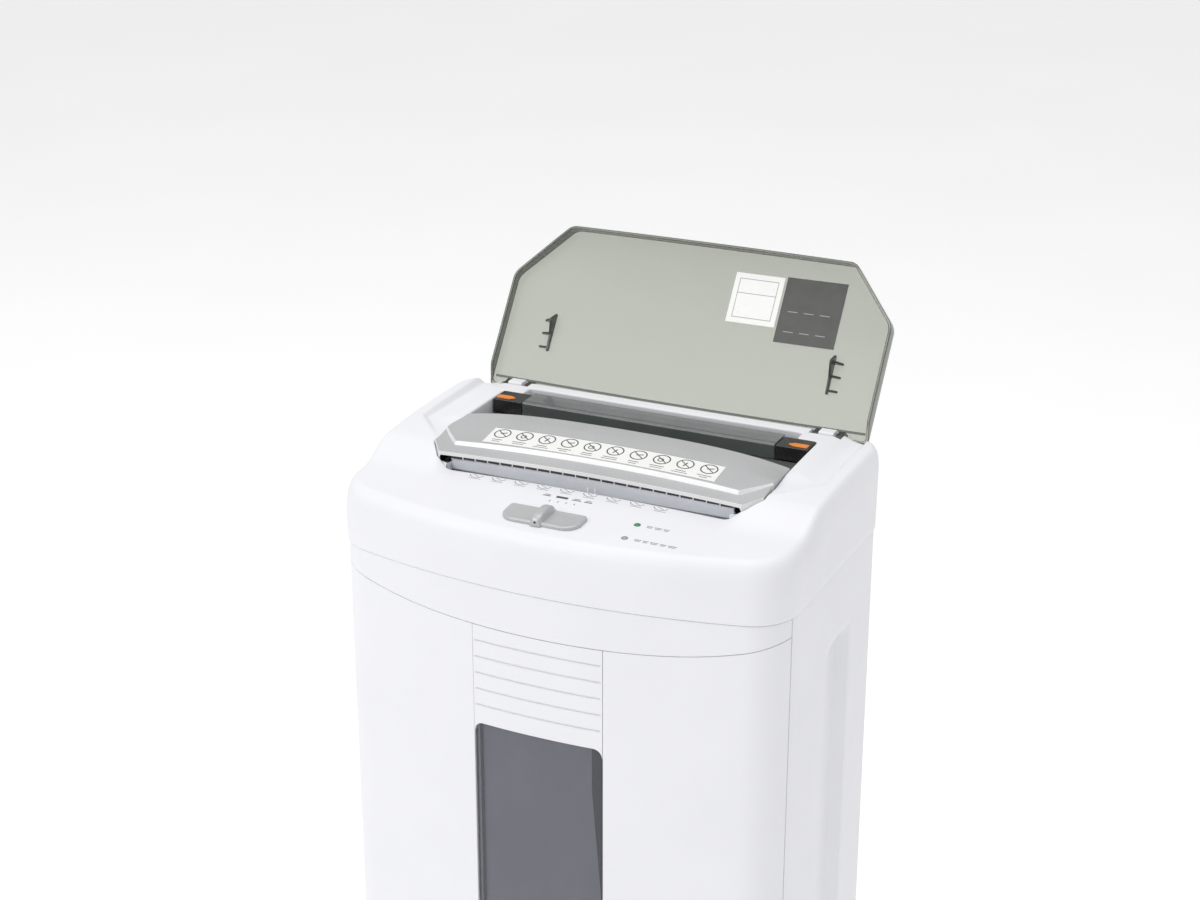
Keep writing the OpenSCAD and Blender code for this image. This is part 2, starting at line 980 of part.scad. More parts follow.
module sync_gear_front() {
    color(steel) from_front()
        gear_x(128, 136, front_shaft_y, shaft_z, sync_m, 20, 0, journal_r);
}

module sync_gear_rear() {
    color(steel) from_front()
        gear_x(128, 136, rear_shaft_y, shaft_z, sync_m, 20, 9, journal_r);
}

module drive_gear() {
    color([0.85, 0.85, 0.8]) from_front()
        gear_x(-138, -128.5, rear_shaft_y, shaft_z, drive_m, drive_z, idler_angle, journal_r);
}

module idler_gear() {
    color([0.85, 0.85, 0.8]) from_front() {
        gear_x(-139.4, -128, idler_y, idler_zc, drive_m, idler_z,
               idler_angle + 180 + 180 / idler_z, 4 + run_gap);
        gear_x(-145, -139.3, idler_y, idler_zc, wheel_m, idler_wheel_z, pinion_angle, 4 + run_gap);
    }
}

module motor() {
    color([0.5, 0.51, 0.53]) from_front() difference() {
        union() {
            rod_x(-121.8, -34, motor_y, motor_z, 24.5);
            rod_x(-36, -22, motor_y, motor_z, 9);
        }
        rod_x(-130, -105, motor_y, motor_z, 3 + run_gap);
    }
}

module motor_pinion() {
    color(steel) from_front() {
        gear_x(-145.5, -139, motor_y, motor_z, wheel_m, pinion_z, pinion_angle + 180 + 180 / pinion_z, 2.9);
        rod_x(-146.5, -106, motor_y, motor_z, 3);
    }
}

module pickup_shaft() {
    color(steel) from_front() {
        rod_x(-130, 145, pickup_y, pickup_z, 4);
        rod_x(138, 144, pickup_y, pickup_z, pulley_r);
    }
}

module pickup_rollers() {
    color([0.15, 0.15, 0.16]) from_front()
        for (x = [-75, -25, 25, 75])
            difference() {
                rod_x(x - 12, x + 12, pickup_y, pickup_z, 13);
                rod_x(x - 13, x + 13, pickup_y, pickup_z, 4);
            }
}

module belt_pulley() {
    color(steel) from_front() difference() {
        rod_x(138, 144, rear_shaft_y, shaft_z, pulley_r);
        rod_x(137, 145, rear_shaft_y, shaft_z, journal_r);
    }
}

module belt_loop(r) {
    hull() {
        translate([rear_shaft_y, shaft_z])
            circle(r);
        translate([pickup_y, pickup_z])
            circle(r);
    }
}

module feed_belt() {
    color(black) from_front()
        along_x(138.6, 143.4)
            difference() {
                belt_loop(pulley_r + 1.8);
                belt_loop(pulley_r + 0.3);
            }
}

module shred_chute() {
    color(white) from_front() difference() {
        box([-121.4, 75, seam_z - 78], [121.4, 160, seam_z - 45]);
        box([-119.4, 77, seam_z - 79], [119.4, 158, seam_z - 44]);
    }
}

module power_inlet() {
    color(black) from_front() translate([inlet_x, body_d, inlet_z]) {
        difference() {
            union() {
                box([-13.6, -19, -10.6], [13.6, -0.2, 10.6]);
                box([-17, -wall - 2.2, -14], [17, -wall - 0.2, 14]);
            }
            box([-11.6, -16, -8.6], [11.6, 5, 8.6]);
        }
        for (x = [-7, 0, 7])
            box([x - 1, -17, -3], [x + 1, -3, 3]);
    }
}

module frame_screws() {
    color(steel) from_front() both_sides()
        for (y = [54, 216])
            translate([140, y, 0]) {
                cylinder_z(1.6, seam_z - 4, seam_z + 7.2);
                cylinder_z(3.6, seam_z + 7.05, seam_z + 9.6);
            }
}

cabinet_shell();
base_plate();
bin_runners();
drawer_panel();
drawer_band();
column_panel();
window_pane();
bin_tub();
bin_magnet();
bin_sensor();
castor_fork(-castor_x, castor_front_y);  // castor_fork_front_left
castor_fork(castor_x, castor_front_y);  // castor_fork_front_right
castor_fork(-castor_x, castor_rear_y);  // castor_fork_rear_left
castor_fork(castor_x, castor_rear_y);  // castor_fork_rear_right
castor_wheel(-castor_x, castor_front_y);  // castor_wheel_front_left
castor_wheel(castor_x, castor_front_y);  // castor_wheel_front_right
castor_wheel(-castor_x, castor_rear_y);  // castor_wheel_rear_left
castor_wheel(castor_x, castor_rear_y);  // castor_wheel_rear_right
head_base();
head_casing();
silver_plate();
symbol_label();
slot_front_guide();
slot_rear_guide();
inner_cover();
end_blocks();
feed_arrows();
stack_guide();
lid();
lid_pins();
hinge_brackets();
lid_guides();
lid_labels();
mode_slider();
mode_switch();
ready_light();
alert_light();
control_board();
side_frame_left();
side_frame_right();
tie_rods();
cutter_front();
cutter_rear();
stripper_front();
stripper_rear();
shaft_bushes();
sync_gear_front();
sync_gear_rear();
drive_gear();
idler_gear();
motor();
motor_pinion();
pickup_shaft();
pickup_rollers();
feed_belt();
belt_pulley();
shred_chute();
power_inlet();
frame_screws();
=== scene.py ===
import json
import math

import bmesh
import bpy
import numpy as np
from mathutils import Matrix, Vector


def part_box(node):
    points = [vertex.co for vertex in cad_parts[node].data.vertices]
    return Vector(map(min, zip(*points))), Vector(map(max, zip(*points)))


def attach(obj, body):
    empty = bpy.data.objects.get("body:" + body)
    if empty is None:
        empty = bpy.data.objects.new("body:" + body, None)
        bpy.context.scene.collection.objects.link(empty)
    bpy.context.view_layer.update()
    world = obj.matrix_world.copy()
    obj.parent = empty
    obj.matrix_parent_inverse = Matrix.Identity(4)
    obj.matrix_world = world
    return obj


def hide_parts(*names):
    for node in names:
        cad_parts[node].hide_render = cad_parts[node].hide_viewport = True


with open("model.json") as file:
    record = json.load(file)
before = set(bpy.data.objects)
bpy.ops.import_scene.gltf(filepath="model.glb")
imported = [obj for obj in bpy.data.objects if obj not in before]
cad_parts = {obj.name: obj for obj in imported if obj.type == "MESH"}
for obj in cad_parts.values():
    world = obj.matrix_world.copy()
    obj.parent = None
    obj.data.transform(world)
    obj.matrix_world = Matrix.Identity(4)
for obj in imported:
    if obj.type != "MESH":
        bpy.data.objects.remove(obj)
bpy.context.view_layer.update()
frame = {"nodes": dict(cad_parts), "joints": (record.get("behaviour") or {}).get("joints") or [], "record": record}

# Lengths below are millimetres. X is to the user's right and Y is measured back from the bin
# front. Z is above the floor, or above the parting line where SEAM is added to it.
MM = 0.001


def low(node):
    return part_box(node)[0] / MM


def high(node):
    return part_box(node)[1] / MM


# ---- Driving dimensions, read from the frame ----

GAP = 0.4
HEAD_BULGE = 1.5
FRONT = low("head_casing").y + HEAD_BULGE
HALF_W = high("cabinet_shell").x
BODY_D = high("cabinet_shell").y - FRONT
SEAM = high("cabinet_shell").z + GAP
BASE_Z = low("cabinet_shell").z
PANEL_Z = low("drawer_panel").z
SPLIT_Y = low("cabinet_shell").y - FRONT
WINDOW_HALF = high("window_pane").x + 0.3
WINDOW_LOW = low("window_pane").z - 0.7
WINDOW_TOP = high("window_pane").z + 0.3
BOW_R = 580.0
CORNER_R = 35.0
REAR_R = 28.0
CORNER_X = HALF_W - CORNER_R
CORNER_Y = BOW_R - math.sqrt((BOW_R - CORNER_R) ** 2 - CORNER_X**2)
CORNER_ANGLE = math.atan2(CORNER_Y - BOW_R, CORNER_X)
FASCIA_Y, FASCIA_Z, FASCIA_END = 8.0, 43.3, 62.0
FASCIA_TILT = math.radians(4.13)
HINGE = Vector(next(j["pos_m"] for j in frame["joints"] if j["name"] == "lid_hinge")) / MM
HINGE_Y = HINGE.y - FRONT
HINGE_Z = HINGE.z
LID_LEAN = math.radians(55)
LID_HALF = high("lid").x
LID_LEN = 137.5
BRACKET_X = 128
SYMBOL_PITCH = 18.07


# ---- Curves and small sums ----


def smoothstep(start, end, x):
    t = np.clip((np.asarray(x, float) - start) / (end - start), 0, 1)
    return t * t * (3 - 2 * t)


def bezier(p0, p1, p2, p3, n):
    t = np.linspace(0, 1, n + 1)[:, None]
    u = 1 - t
    p0, p1, p2, p3 = (np.array(p, float) for p in (p0, p1, p2, p3))
    return u**3 * p0 + 3 * u * u * t * p1 + 3 * u * t * t * p2 + t**3 * p3


def arc_points(centre, radius, start, end, n):
    return [
        (centre[0] + radius * math.cos(a), centre[1] + radius * math.sin(a))
        for a in np.linspace(start, end, n + 1)
    ]


def rounded(points, radius, n=6):
    """The closed outline with each corner turned into an arc of at most that radius."""
    out = []
    count = len(points)
    for i, p in enumerate(points):
        p, before, after = (Vector(q) for q in (p, points[i - 1], points[(i + 1) % count]))
        a, b = (before - p), (after - p)
        half = a.angle(b) / 2
        if half > math.radians(89):
            out.append(tuple(p))
            continue
        reach = min(radius / math.tan(half), a.length * 0.45, b.length * 0.45)
        r = reach * math.tan(half)
        centre = p + (a.normalized() + b.normalized()).normalized() * (r / math.sin(half))
        first, last = p + a.normalized() * reach, p + b.normalized() * reach
        start = math.atan2(first.y - centre.y, first.x - centre.x)
        turn = math.atan2(last.y - centre.y, last.x - centre.x) - start
        turn = (turn + math.pi) % (2 * math.pi) - math.pi
        out += arc_points(centre, r, start, start + turn, n)
    return out


def mirrored(points):
    """The points and their mirror images in X, as one outline."""
    return list(points) + [(-x, y) for x, y in reversed(points)]


def across(side, inner, outer):
    """The two distances from the middle as X on that side, in rising order."""
    return sorted((side * inner, side * outer))


# ---- Making pieces ----


def to_frame(bm):
    bm.transform(Matrix.Scale(MM, 4) @ Matrix.Translation((0, FRONT, 0)))


def link(thing):
    bpy.context.scene.collection.objects.link(thing)
    return thing


def mesh_from(bm, name):
    mesh = bpy.data.meshes.new(name)
    bm.to_mesh(mesh)
    bm.free()
    return mesh


def piece_from(bm, name, body, slot, skins=None, replaced=(), weighted=True, sharp=40):
    """Makes the drawing an object. Its faces' indices pick from the skins, or it has the slot's own."""
    to_frame(bm)
    for face in bm.faces:
        face.smooth = True
    mesh = mesh_from(bm, name)
    mesh.set_sharp_from_angle(angle=math.radians(sharp))
    for skin in skins or (slot,):
        mesh.materials.append(MATERIALS[skin])
    piece = link(bpy.data.objects.new(name, mesh))
    if weighted:
        weights = piece.modifiers.new("weights", "WEIGHTED_NORMAL")
        weights.keep_sharp = True
        weights.weight = 80
    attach(piece, body)
    if replaced:
        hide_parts(*replaced)
    return piece


def soften(bm, faces, width, segments=3, least=35):
    """Rounds the sharp edges of these faces."""
    bmesh.ops.recalc_face_normals(bm, faces=faces)
    edges = {e for f in faces for e in f.edges}
    angle = math.radians(least)
    sharp = [e for e in edges if len(e.link_faces) == 2 and e.calc_face_angle(0) > angle]
    if width and sharp:
        bmesh.ops.bevel(
            bm, geom=sharp, offset=width, offset_type="OFFSET", segments=segments,
            profile=0.5, affect="EDGES", clamp_overlap=True,
        )


AXES = {
    "x": lambda p, d: (d, p[0], p[1]),
    "y": lambda p, d: (p[0], d, p[1]),
    "z": lambda p, d: (p[0], p[1], d),
}


def add_walls(bm, one_end, other_end):
    """The closed solid between two outlines of as many points."""
    first = [bm.verts.new(p) for p in one_end]
    last = [bm.verts.new(p) for p in other_end]
    n = len(first)
    faces = [bm.faces.new(first), bm.faces.new(last)]
    faces += [bm.faces.new((first[i], first[(i + 1) % n], last[(i + 1) % n], last[i])) for i in range(n)]
    return faces


def add_prism(bm, points, axis, start, end, soft=0.0, segments=3):
    """A solid with that outline, drawn out along an axis from start to end."""
    place = AXES[axis]
    faces = add_walls(bm, [place(p, start) for p in points], [place(p, end) for p in points])
    soften(bm, faces, soft, segments)
    return faces


def add_box(bm, corner, opposite, soft=0.0, segments=3):
    (x0, y0, z0), (x1, y1, z1) = corner, opposite
    return add_prism(bm, [(x0, y0), (x1, y0), (x1, y1), (x0, y1)], "z", z0, z1, soft, segments)


def add_grid(bm, points, wrap_rows=False, wrap_cols=False):
    """Quads over a rows x columns x 3 array of points."""
    rows, cols = points.shape[:2]
    verts = [[bm.verts.new(p) for p in row] for row in points.tolist()]
    faces = []
    for i in range(rows if wrap_rows else rows - 1):
        for j in range(cols if wrap_cols else cols - 1):
            a, b = verts[i], verts[(i + 1) % rows]
            k = (j + 1) % cols
            faces.append(bm.faces.new((a[j], a[k], b[k], b[j])))
    return verts, faces


def add_slab(bm, top, bottom, keep=None, soft=0.0, segments=3):
    """A closed sheet between two arrays of points. keep says which cells are there."""
    rows, cols = top.shape[:2]
    keep = np.ones((rows - 1, cols - 1), bool) if keep is None else keep
    used = np.zeros((rows, cols), bool)
    for i, j in np.argwhere(keep):
        used[i : i + 2, j : j + 2] = True
    upper, lower = {}, {}
    for i, j in np.argwhere(used):
        upper[i, j] = bm.verts.new(top[i, j])
        lower[i, j] = bm.verts.new(bottom[i, j])
    faces = []
    for i, j in np.argwhere(keep):
        corners = [(i, j), (i, j + 1), (i + 1, j + 1), (i + 1, j)]
        faces.append(bm.faces.new([upper[c] for c in corners]))
        faces.append(bm.faces.new([lower[c] for c in reversed(corners)]))
        beside = [(i - 1, j), (i, j + 1), (i + 1, j), (i, j - 1)]
        for k, (a, b) in enumerate(beside):
            inside = 0 <= a < rows - 1 and 0 <= b < cols - 1 and keep[a, b]
            if not inside:
                p, q = corners[k], corners[(k + 1) % 4]
                faces.append(bm.faces.new((upper[q], upper[p], lower[p], lower[q])))
    soften(bm, faces, soft, segments, 50)
    return faces


# ---- Materials ----


class Shader:
    """A node material with one Principled surface."""

    def __init__(self, name, colour, roughness, **sockets):
        self.material = bpy.data.materials.new(name)
        self.material.use_nodes = True
        self.tree = self.material.node_tree
        self.nodes = self.tree.nodes
        self.surface = self.nodes["Principled BSDF"]
        self.coords = self.node("ShaderNodeTexCoord").outputs["Object"]
        self.colour = colour
        self.surface.inputs["Roughness"].default_value = roughness
        self.roughness = roughness
        for socket, value in sockets.items():
            self.surface.inputs[socket.replace("_", " ")].default_value = value

    def node(self, kind, **settings):
        node = self.nodes.new(kind)
        for key, value in settings.items():
            setattr(node, key, value)
        return node

    def link(self, source, target):
        self.tree.links.new(source, target)

    def noise(self, size, detail=3.0, stretch=(1, 1, 1), distortion=0.0):
        """Noise whose features are about that many millimetres across."""
        mapping = self.node("ShaderNodeMapping")
        mapping.inputs["Scale"].default_value = stretch
        self.link(self.coords, mapping.inputs["Vector"])
        noise = self.node("ShaderNodeTexNoise")
        noise.inputs["Scale"].default_value = 1 / (size * MM)
        noise.inputs["Detail"].default_value = detail
        noise.inputs["Distortion"].default_value = distortion
        self.link(mapping.outputs["Vector"], noise.inputs["Vector"])
        return noise.outputs["Fac"]

    def ramp(self, value, stops):
        ramp = self.node("ShaderNodeValToRGB")
        elements = ramp.color_ramp.elements
        while len(elements) < len(stops):
            elements.new(0.5)
        for element, (position, colour) in zip(elements, stops):
            element.position = position
            element.color = (*colour, 1)
        self.link(value, ramp.inputs["Fac"])
        return ramp.outputs["Color"]

    def remap(self, value, low_in, high_in, low_out, high_out):
        node = self.node("ShaderNodeMapRange")
        limits = {"From Min": low_in, "From Max": high_in, "To Min": low_out, "To Max": high_out}
        for socket, number in limits.items():
            node.inputs[socket].default_value = number
        self.link(value, node.inputs["Value"])
        return node.outputs["Result"]

    def mix(self, factor, a, b):
        """A colour between a and b; each is a colour or a socket."""
        node = self.node("ShaderNodeMix", data_type="RGBA")
        self.link(factor, node.inputs["Factor"])
        for socket, value in ((node.inputs[6], a), (node.inputs[7], b)):
            if isinstance(value, bpy.types.NodeSocket):
                self.link(value, socket)
            else:
                socket.default_value = (*value, 1)
        return node.outputs[2]

    def tint(self, share, size, detail=3.0, stretch=(1, 1, 1)):
        """Soft variation of the base colour, by that share either way."""
        c = self.colour
        darker = tuple(v * (1 - share) for v in c)
        lighter = tuple(min(1.0, v * (1 + share)) for v in c)
        value = self.noise(size, detail, stretch)
        self.base = self.ramp(value, [(0.3, darker), (0.7, lighter)])
        self.link(self.base, self.surface.inputs["Base Color"])
        return self

    def speckle(self, size, colour, start, end):
        """Small spots of another colour over the base colour."""
        spots = self.remap(self.noise(size, 2.0), start, end, 0, 1)
        self.base = self.mix(spots, self.base, colour)
        self.link(self.base, self.surface.inputs["Base Color"])
        return self

    def rough(self, size, spread, stretch=(1, 1, 1)):
        value = self.noise(size, 4.0, stretch)
        mid = self.roughness
        self.link(self.remap(value, 0.3, 0.7, mid - spread, mid + spread), self.surface.inputs["Roughness"])
        return self

    def grain(self, size, depth, stretch=(1, 1, 1), detail=2.0):
        """Moulded, ground or brushed texture as bump; depth is in millimetres."""
        bump = self.node("ShaderNodeBump")
        bump.inputs["Strength"].default_value = 1.0
        bump.inputs["Distance"].default_value = depth * MM
        self.link(self.noise(size, detail, stretch), bump.inputs["Height"])
        if self.surface.inputs["Normal"].is_linked:
            self.link(self.surface.inputs["Normal"].links[0].from_socket, bump.inputs["Normal"])
        self.link(bump.outputs["Normal"], self.surface.inputs["Normal"])
        return self

    def see_through(self, share, colour):
        """Lets that share of light straight through, coloured."""
        clear = self.node("ShaderNodeBsdfTransparent")
        clear.inputs["Color"].default_value = (*colour, 1)
        mix = self.node("ShaderNodeMixShader")
        mix.inputs["Fac"].default_value = share
        self.link(self.surface.outputs["BSDF"], mix.inputs[1])
        self.link(clear.outputs["BSDF"], mix.inputs[2])
        self.link(mix.outputs["Shader"], self.nodes["Material Output"].inputs["Surface"])
        return self

def material(name, colour, roughness, tint, rough, grain, speckle=None, see_through=None, **sockets):
    """A material from one recipe; each step's numbers are the arguments of the method it names."""
    shader = Shader(name, colour, roughness, **sockets).tint(*tint)
    if speckle:
        shader.speckle(*speckle)
    shader.rough(*rough).grain(*grain)
    if see_through:
        shader.see_through(*see_through)
    return shader.material


LENS = dict(
    roughness=0.14, Coat_Weight=0.8, Coat_Roughness=0.05, Subsurface_Weight=0.15,
    tint=(0.35, 1.6), rough=(2, 0.04), grain=(1.2, 0.01),
)
# The first 21 are the record's slots. Of the last six, four are lighter or darker copies laid on some faces as
# painted highlight, painted light and painted shade, and two are print.
RECIPES = {
    "casing_white": dict(
        colour=(0.83, 0.832, 0.862), roughness=0.42, Specular_IOR_Level=0.4,
        tint=(0.012, 60, 4), speckle=(1.4, (0.78, 0.775, 0.77), 0.71, 0.8),
        rough=(25, 0.05), grain=(0.55, 0.012),
    ),
    "bin_grey": dict(
        colour=(0.66, 0.66, 0.69), roughness=0.5,
        tint=(0.05, 40), rough=(20, 0.07), grain=(0.8, 0.03),
    ),
    "window_smoke": dict(
        colour=(0.11, 0.112, 0.125), roughness=0.16, Coat_Weight=0.4, Coat_Roughness=0.06,
        tint=(0.06, 30, 3.0, (2, 1, 0.1)), rough=(20, 0.04),
        grain=(18, 0.03), see_through=(0.62, (0.93, 0.94, 0.97)),
    ),
    "lid_smoke": dict(
        colour=(0.27, 0.282, 0.25), roughness=0.13, Coat_Weight=0.3, Coat_Roughness=0.05,
        tint=(0.04, 60), rough=(30, 0.03), grain=(30, 0.03), see_through=(0.8, (0.81, 0.82, 0.78)),
    ),
    "cover_smoke": dict(
        colour=(0.16, 0.178, 0.172), roughness=0.12, Coat_Weight=0.6, Coat_Roughness=0.05,
        tint=(0.1, 30), rough=(15, 0.04), grain=(14, 0.02), see_through=(0.4, (0.66, 0.7, 0.68)),
    ),
    "silver_plastic": dict(
        colour=(0.49, 0.495, 0.5), roughness=0.36, Metallic=0.25, Coat_Weight=0.15, Coat_Roughness=0.3,
        tint=(0.03, 30), speckle=(0.35, (0.72, 0.72, 0.73), 0.6, 0.7),
        rough=(12, 0.05), grain=(0.3, 0.008),
    ),
    "label_white": dict(
        colour=(0.86, 0.86, 0.84), roughness=0.3, Coat_Weight=0.3, Coat_Roughness=0.15,
        tint=(0.012, 14), rough=(8, 0.04), grain=(6, 0.015),
    ),
    "label_dark": dict(
        colour=(0.055, 0.055, 0.05), roughness=0.35, Coat_Weight=0.2, Coat_Roughness=0.2,
        tint=(0.12, 10), rough=(6, 0.06), grain=(5, 0.02),
    ),
    "guide_grey": dict(
        colour=(0.84, 0.855, 0.9), roughness=0.42,
        tint=(0.025, 22), rough=(10, 0.06), grain=(0.6, 0.01),
    ),
    "guide_dark": dict(
        colour=(0.045, 0.048, 0.05), roughness=0.45,
        tint=(0.15, 18), rough=(10, 0.08), grain=(0.6, 0.02),
    ),
    "black_plastic": dict(
        colour=(0.018, 0.017, 0.017), roughness=0.28, Coat_Weight=0.25, Coat_Roughness=0.12,
        tint=(0.25, 12), speckle=(0.7, (0.05, 0.05, 0.05), 0.68, 0.78),
        rough=(8, 0.07), grain=(0.7, 0.012),
    ),
    "orange_mark": dict(
        colour=(0.8, 0.25, 0.035), roughness=0.38,
        tint=(0.08, 5), rough=(4, 0.05), grain=(0.5, 0.01),
    ),
    "green_lens": dict(colour=(0.01, 0.2, 0.05), **LENS),
    "grey_lens": dict(colour=(0.3, 0.3, 0.32), **LENS),
    "board_green": dict(
        colour=(0.012, 0.11, 0.045), roughness=0.35,
        tint=(0.3, 6, 5), speckle=(2.2, (0.3, 0.27, 0.12), 0.64, 0.66),
        rough=(5, 0.08), grain=(2, 0.03),
    ),
    "steel": dict(
        colour=(0.46, 0.465, 0.48), roughness=0.34, Metallic=1.0,
        tint=(0.12, 14, 5), rough=(5, 0.1, (0.05, 1, 1)), grain=(0.9, 0.012, (0.04, 1, 1)),
    ),
    "gear_nylon": dict(
        colour=(0.68, 0.66, 0.58), roughness=0.42, Subsurface_Weight=0.1,
        tint=(0.05, 9), rough=(6, 0.06), grain=(0.8, 0.02),
    ),
    "bush_bronze": dict(
        colour=(0.5, 0.31, 0.12), roughness=0.42, Metallic=0.95,
        tint=(0.15, 1.2), rough=(2, 0.1), grain=(0.35, 0.02),
    ),
    "motor_paint": dict(
        colour=(0.3, 0.31, 0.33), roughness=0.4, Metallic=0.7,
        tint=(0.12, 12, 5), speckle=(3, (0.16, 0.15, 0.14), 0.66, 0.72),
        rough=(9, 0.1), grain=(1.2, 0.015),
    ),
    "roller_rubber": dict(
        colour=(0.022, 0.022, 0.024), roughness=0.72,
        tint=(0.25, 5), rough=(4, 0.1), grain=(0.5, 0.05),
    ),
    "wheel_grey": dict(
        colour=(0.045, 0.045, 0.05), roughness=0.6,
        tint=(0.2, 6), speckle=(1.3, (0.16, 0.155, 0.15), 0.66, 0.74),
        rough=(5, 0.1), grain=(0.7, 0.04),
    ),
    # Painted highlight: a lighter copy of the silver for the plate's front lip and ridge chamfer.
    "silver_painted_highlight": dict(
        colour=(0.8, 0.8, 0.805), roughness=0.3, Metallic=0.1, Coat_Weight=0.2, Coat_Roughness=0.2,
        tint=(0.02, 30), speckle=(0.35, (0.9, 0.9, 0.9), 0.6, 0.7),
        rough=(12, 0.05), grain=(0.3, 0.006),
    ),
    # Painted shade: a darker, less clear copy of the lid smoke for the lid's wall and rim edges, knuckles and
    # guides, as if seen through more plastic, and for a strip along the hinge edge that paints the shadow of the
    # gap there.
    "lid_smoke_painted_shade": dict(
        colour=(0.035, 0.038, 0.032), roughness=0.18, Coat_Weight=0.4, Coat_Roughness=0.08,
        tint=(0.15, 20), rough=(10, 0.05), grain=(8, 0.02), see_through=(0.15, (0.6, 0.62, 0.56)),
    ),
    # Painted shade: a darker, less clear copy of the lid smoke for the flat top of the lid's rim.
    "lid_rim_painted_shade": dict(
        colour=(0.24, 0.25, 0.225), roughness=0.16, Coat_Weight=0.4, Coat_Roughness=0.08,
        tint=(0.1, 20), rough=(10, 0.05), grain=(8, 0.02), see_through=(0.45, (0.75, 0.77, 0.72)),
    ),
    # Painted light: a lighter, glossier copy of the cover smoke for the cover's upper faces, making its top
    # lighter than its front.
    "cover_top_painted_light": dict(
        colour=(0.3, 0.315, 0.325), roughness=0.1, Coat_Weight=0.8, Coat_Roughness=0.04,
        tint=(0.08, 30), rough=(15, 0.03), grain=(14, 0.02), see_through=(0.4, (0.66, 0.7, 0.68)),
    ),
    "print_grey": dict(
        colour=(0.075, 0.075, 0.08), roughness=0.45,
        tint=(0.12, 0.8), rough=(2, 0.05), grain=(0.4, 0.004),
    ),
    "print_pale": dict(
        colour=(0.33, 0.33, 0.345), roughness=0.5,
        tint=(0.1, 0.8), rough=(2, 0.05), grain=(0.4, 0.004),
    ),
}
MATERIALS = {name: material(name, **recipe) for name, recipe in RECIPES.items()}


def paint_cad_nodes():
    for part in frame["record"]["subparts"]:
        node = frame["nodes"][part["node"]]
        node.data.materials.clear()
        node.data.materials.append(MATERIALS[part["material_slot"]])


# ---- Outline of the cabinet ----


def plan_depth(x, y):
    """How far inside the cabinet's outline a point is."""
    ax = np.abs(x)
    depth = np.minimum.reduce([HALF_W - ax, BODY_D - y, BOW_R - np.hypot(x, y - BOW_R)])
    px, py = ax - CORNER_X, y - CORNER_Y
    beyond = px * (CORNER_Y - BOW_R) - py * CORNER_X < 0
    corner = (py < 0) & beyond
    depth = np.where(corner, CORNER_R - np.hypot(px, py), depth)
    qx, qy = ax - (HALF_W - REAR_R), y - (BODY_D - REAR_R)
    rear = (qx > 0) & (qy > 0)
    return np.where(rear, REAR_R - np.hypot(qx, qy), depth)


def on_arc(cx, cy, r, a):
    """The point at that angle on an arc, and the normal towards its centre."""
    return cx + r * math.cos(a), cy + r * math.sin(a), -math.cos(a), -math.sin(a)


def both_halves(right):
    """The run of the right half, continued by its mirror image; the last point is on the middle."""
    run = np.array(right)
    return np.vstack([run, run[-2::-1] * [-1, 1, -1, 1]])


def front_run(end_y, step=2.0, stops=()):
    """Points and inward normals along the bowed front, from one side at end_y round to the other."""
    start = math.asin((end_y - CORNER_Y) / CORNER_R) if end_y < CORNER_Y else 0.0
    corner = np.linspace(start, CORNER_ANGLE, 26)
    right = [(CORNER_X, CORNER_Y, CORNER_R, a) for a in corner[:-1]]
    bow_half = math.pi / 2 + CORNER_ANGLE
    xs = np.linspace(BOW_R * math.sin(bow_half), 0, int(BOW_R * bow_half / step))
    xs = sorted({*np.round(xs, 6), *stops}, reverse=True)
    bow = [(0, BOW_R, BOW_R, -math.acos(x / BOW_R)) for x in xs]
    return both_halves([on_arc(*place) for place in right + bow])


def bow_run(xs):
    """Points and inward normals at those X on the bow alone."""
    angle = np.arccos(xs / BOW_R)
    return np.stack([xs, BOW_R - BOW_R * np.sin(angle), -np.cos(angle), np.sin(angle)], axis=1)


def run_surface(run, heights, inset):
    """Points of a wall along the run: heights is rows x columns, and inset is a number or such an array."""
    inset = np.broadcast_to(inset, heights.shape)
    x = run[None, :, 0] + inset * run[None, :, 2]
    y = run[None, :, 1] + inset * run[None, :, 3]
    return np.stack([x, y, heights], axis=2)


def smile(x):
    """Lower edge of the band above the bin front."""
    return SEAM - 31.9 + 0.000274 * x**2 + 1.14e-8 * x**4


# ---- Bin front ----


def drawer_band():
    run = front_run(SPLIT_Y - 2 * GAP)
    base = smile(run[:, 0])
    rows = np.linspace(0, 1, 9)[:, None]
    heights = base + rows * (SEAM - GAP - base)
    bm = bmesh.new()
    add_slab(bm, run_surface(run, heights, 0), run_surface(run, heights, 3), soft=0.5)
    piece_from(bm, "band_skin", "bin", "casing_white", replaced=["drawer_band"])


def drawer_panel():
    edge = WINDOW_HALF + 0.3
    run = front_run(SPLIT_Y - 2 * GAP, stops=(edge,))
    x = run[:, 0]
    top = smile(x) - GAP
    below = PANEL_Z + np.linspace(0, 1, 7)[:, None] * (WINDOW_LOW - PANEL_Z) + 0 * x
    above = WINDOW_LOW + np.linspace(0, 1, 24)[1:, None] * (top - WINDOW_LOW)
    heights = np.vstack([below, above])
    middle = np.abs((x[:-1] + x[1:]) / 2) < edge
    keep = np.ones((heights.shape[0] - 1, len(x) - 1), bool)
    keep[6:, middle] = False
    bm = bmesh.new()
    add_slab(bm, run_surface(run, heights, 0), run_surface(run, heights, 3), keep, soft=0.6)
    piece_from(bm, "panel_skin", "bin", "casing_white", replaced=["drawer_panel"])


WINDOW_CORNER = 7.0


def corner_rise(x, half):
    """How far a rounded corner of an opening of that half width stands from the corner's centre line."""
    reach = np.clip(np.abs(x) - (half - WINDOW_CORNER), 0, WINDOW_CORNER)
    return np.sqrt(WINDOW_CORNER**2 - reach**2)


def window_edge(x):
    """Height of the window's upper edge, with its rounded corners."""
    return WINDOW_TOP - WINDOW_CORNER + corner_rise(x, WINDOW_HALF)


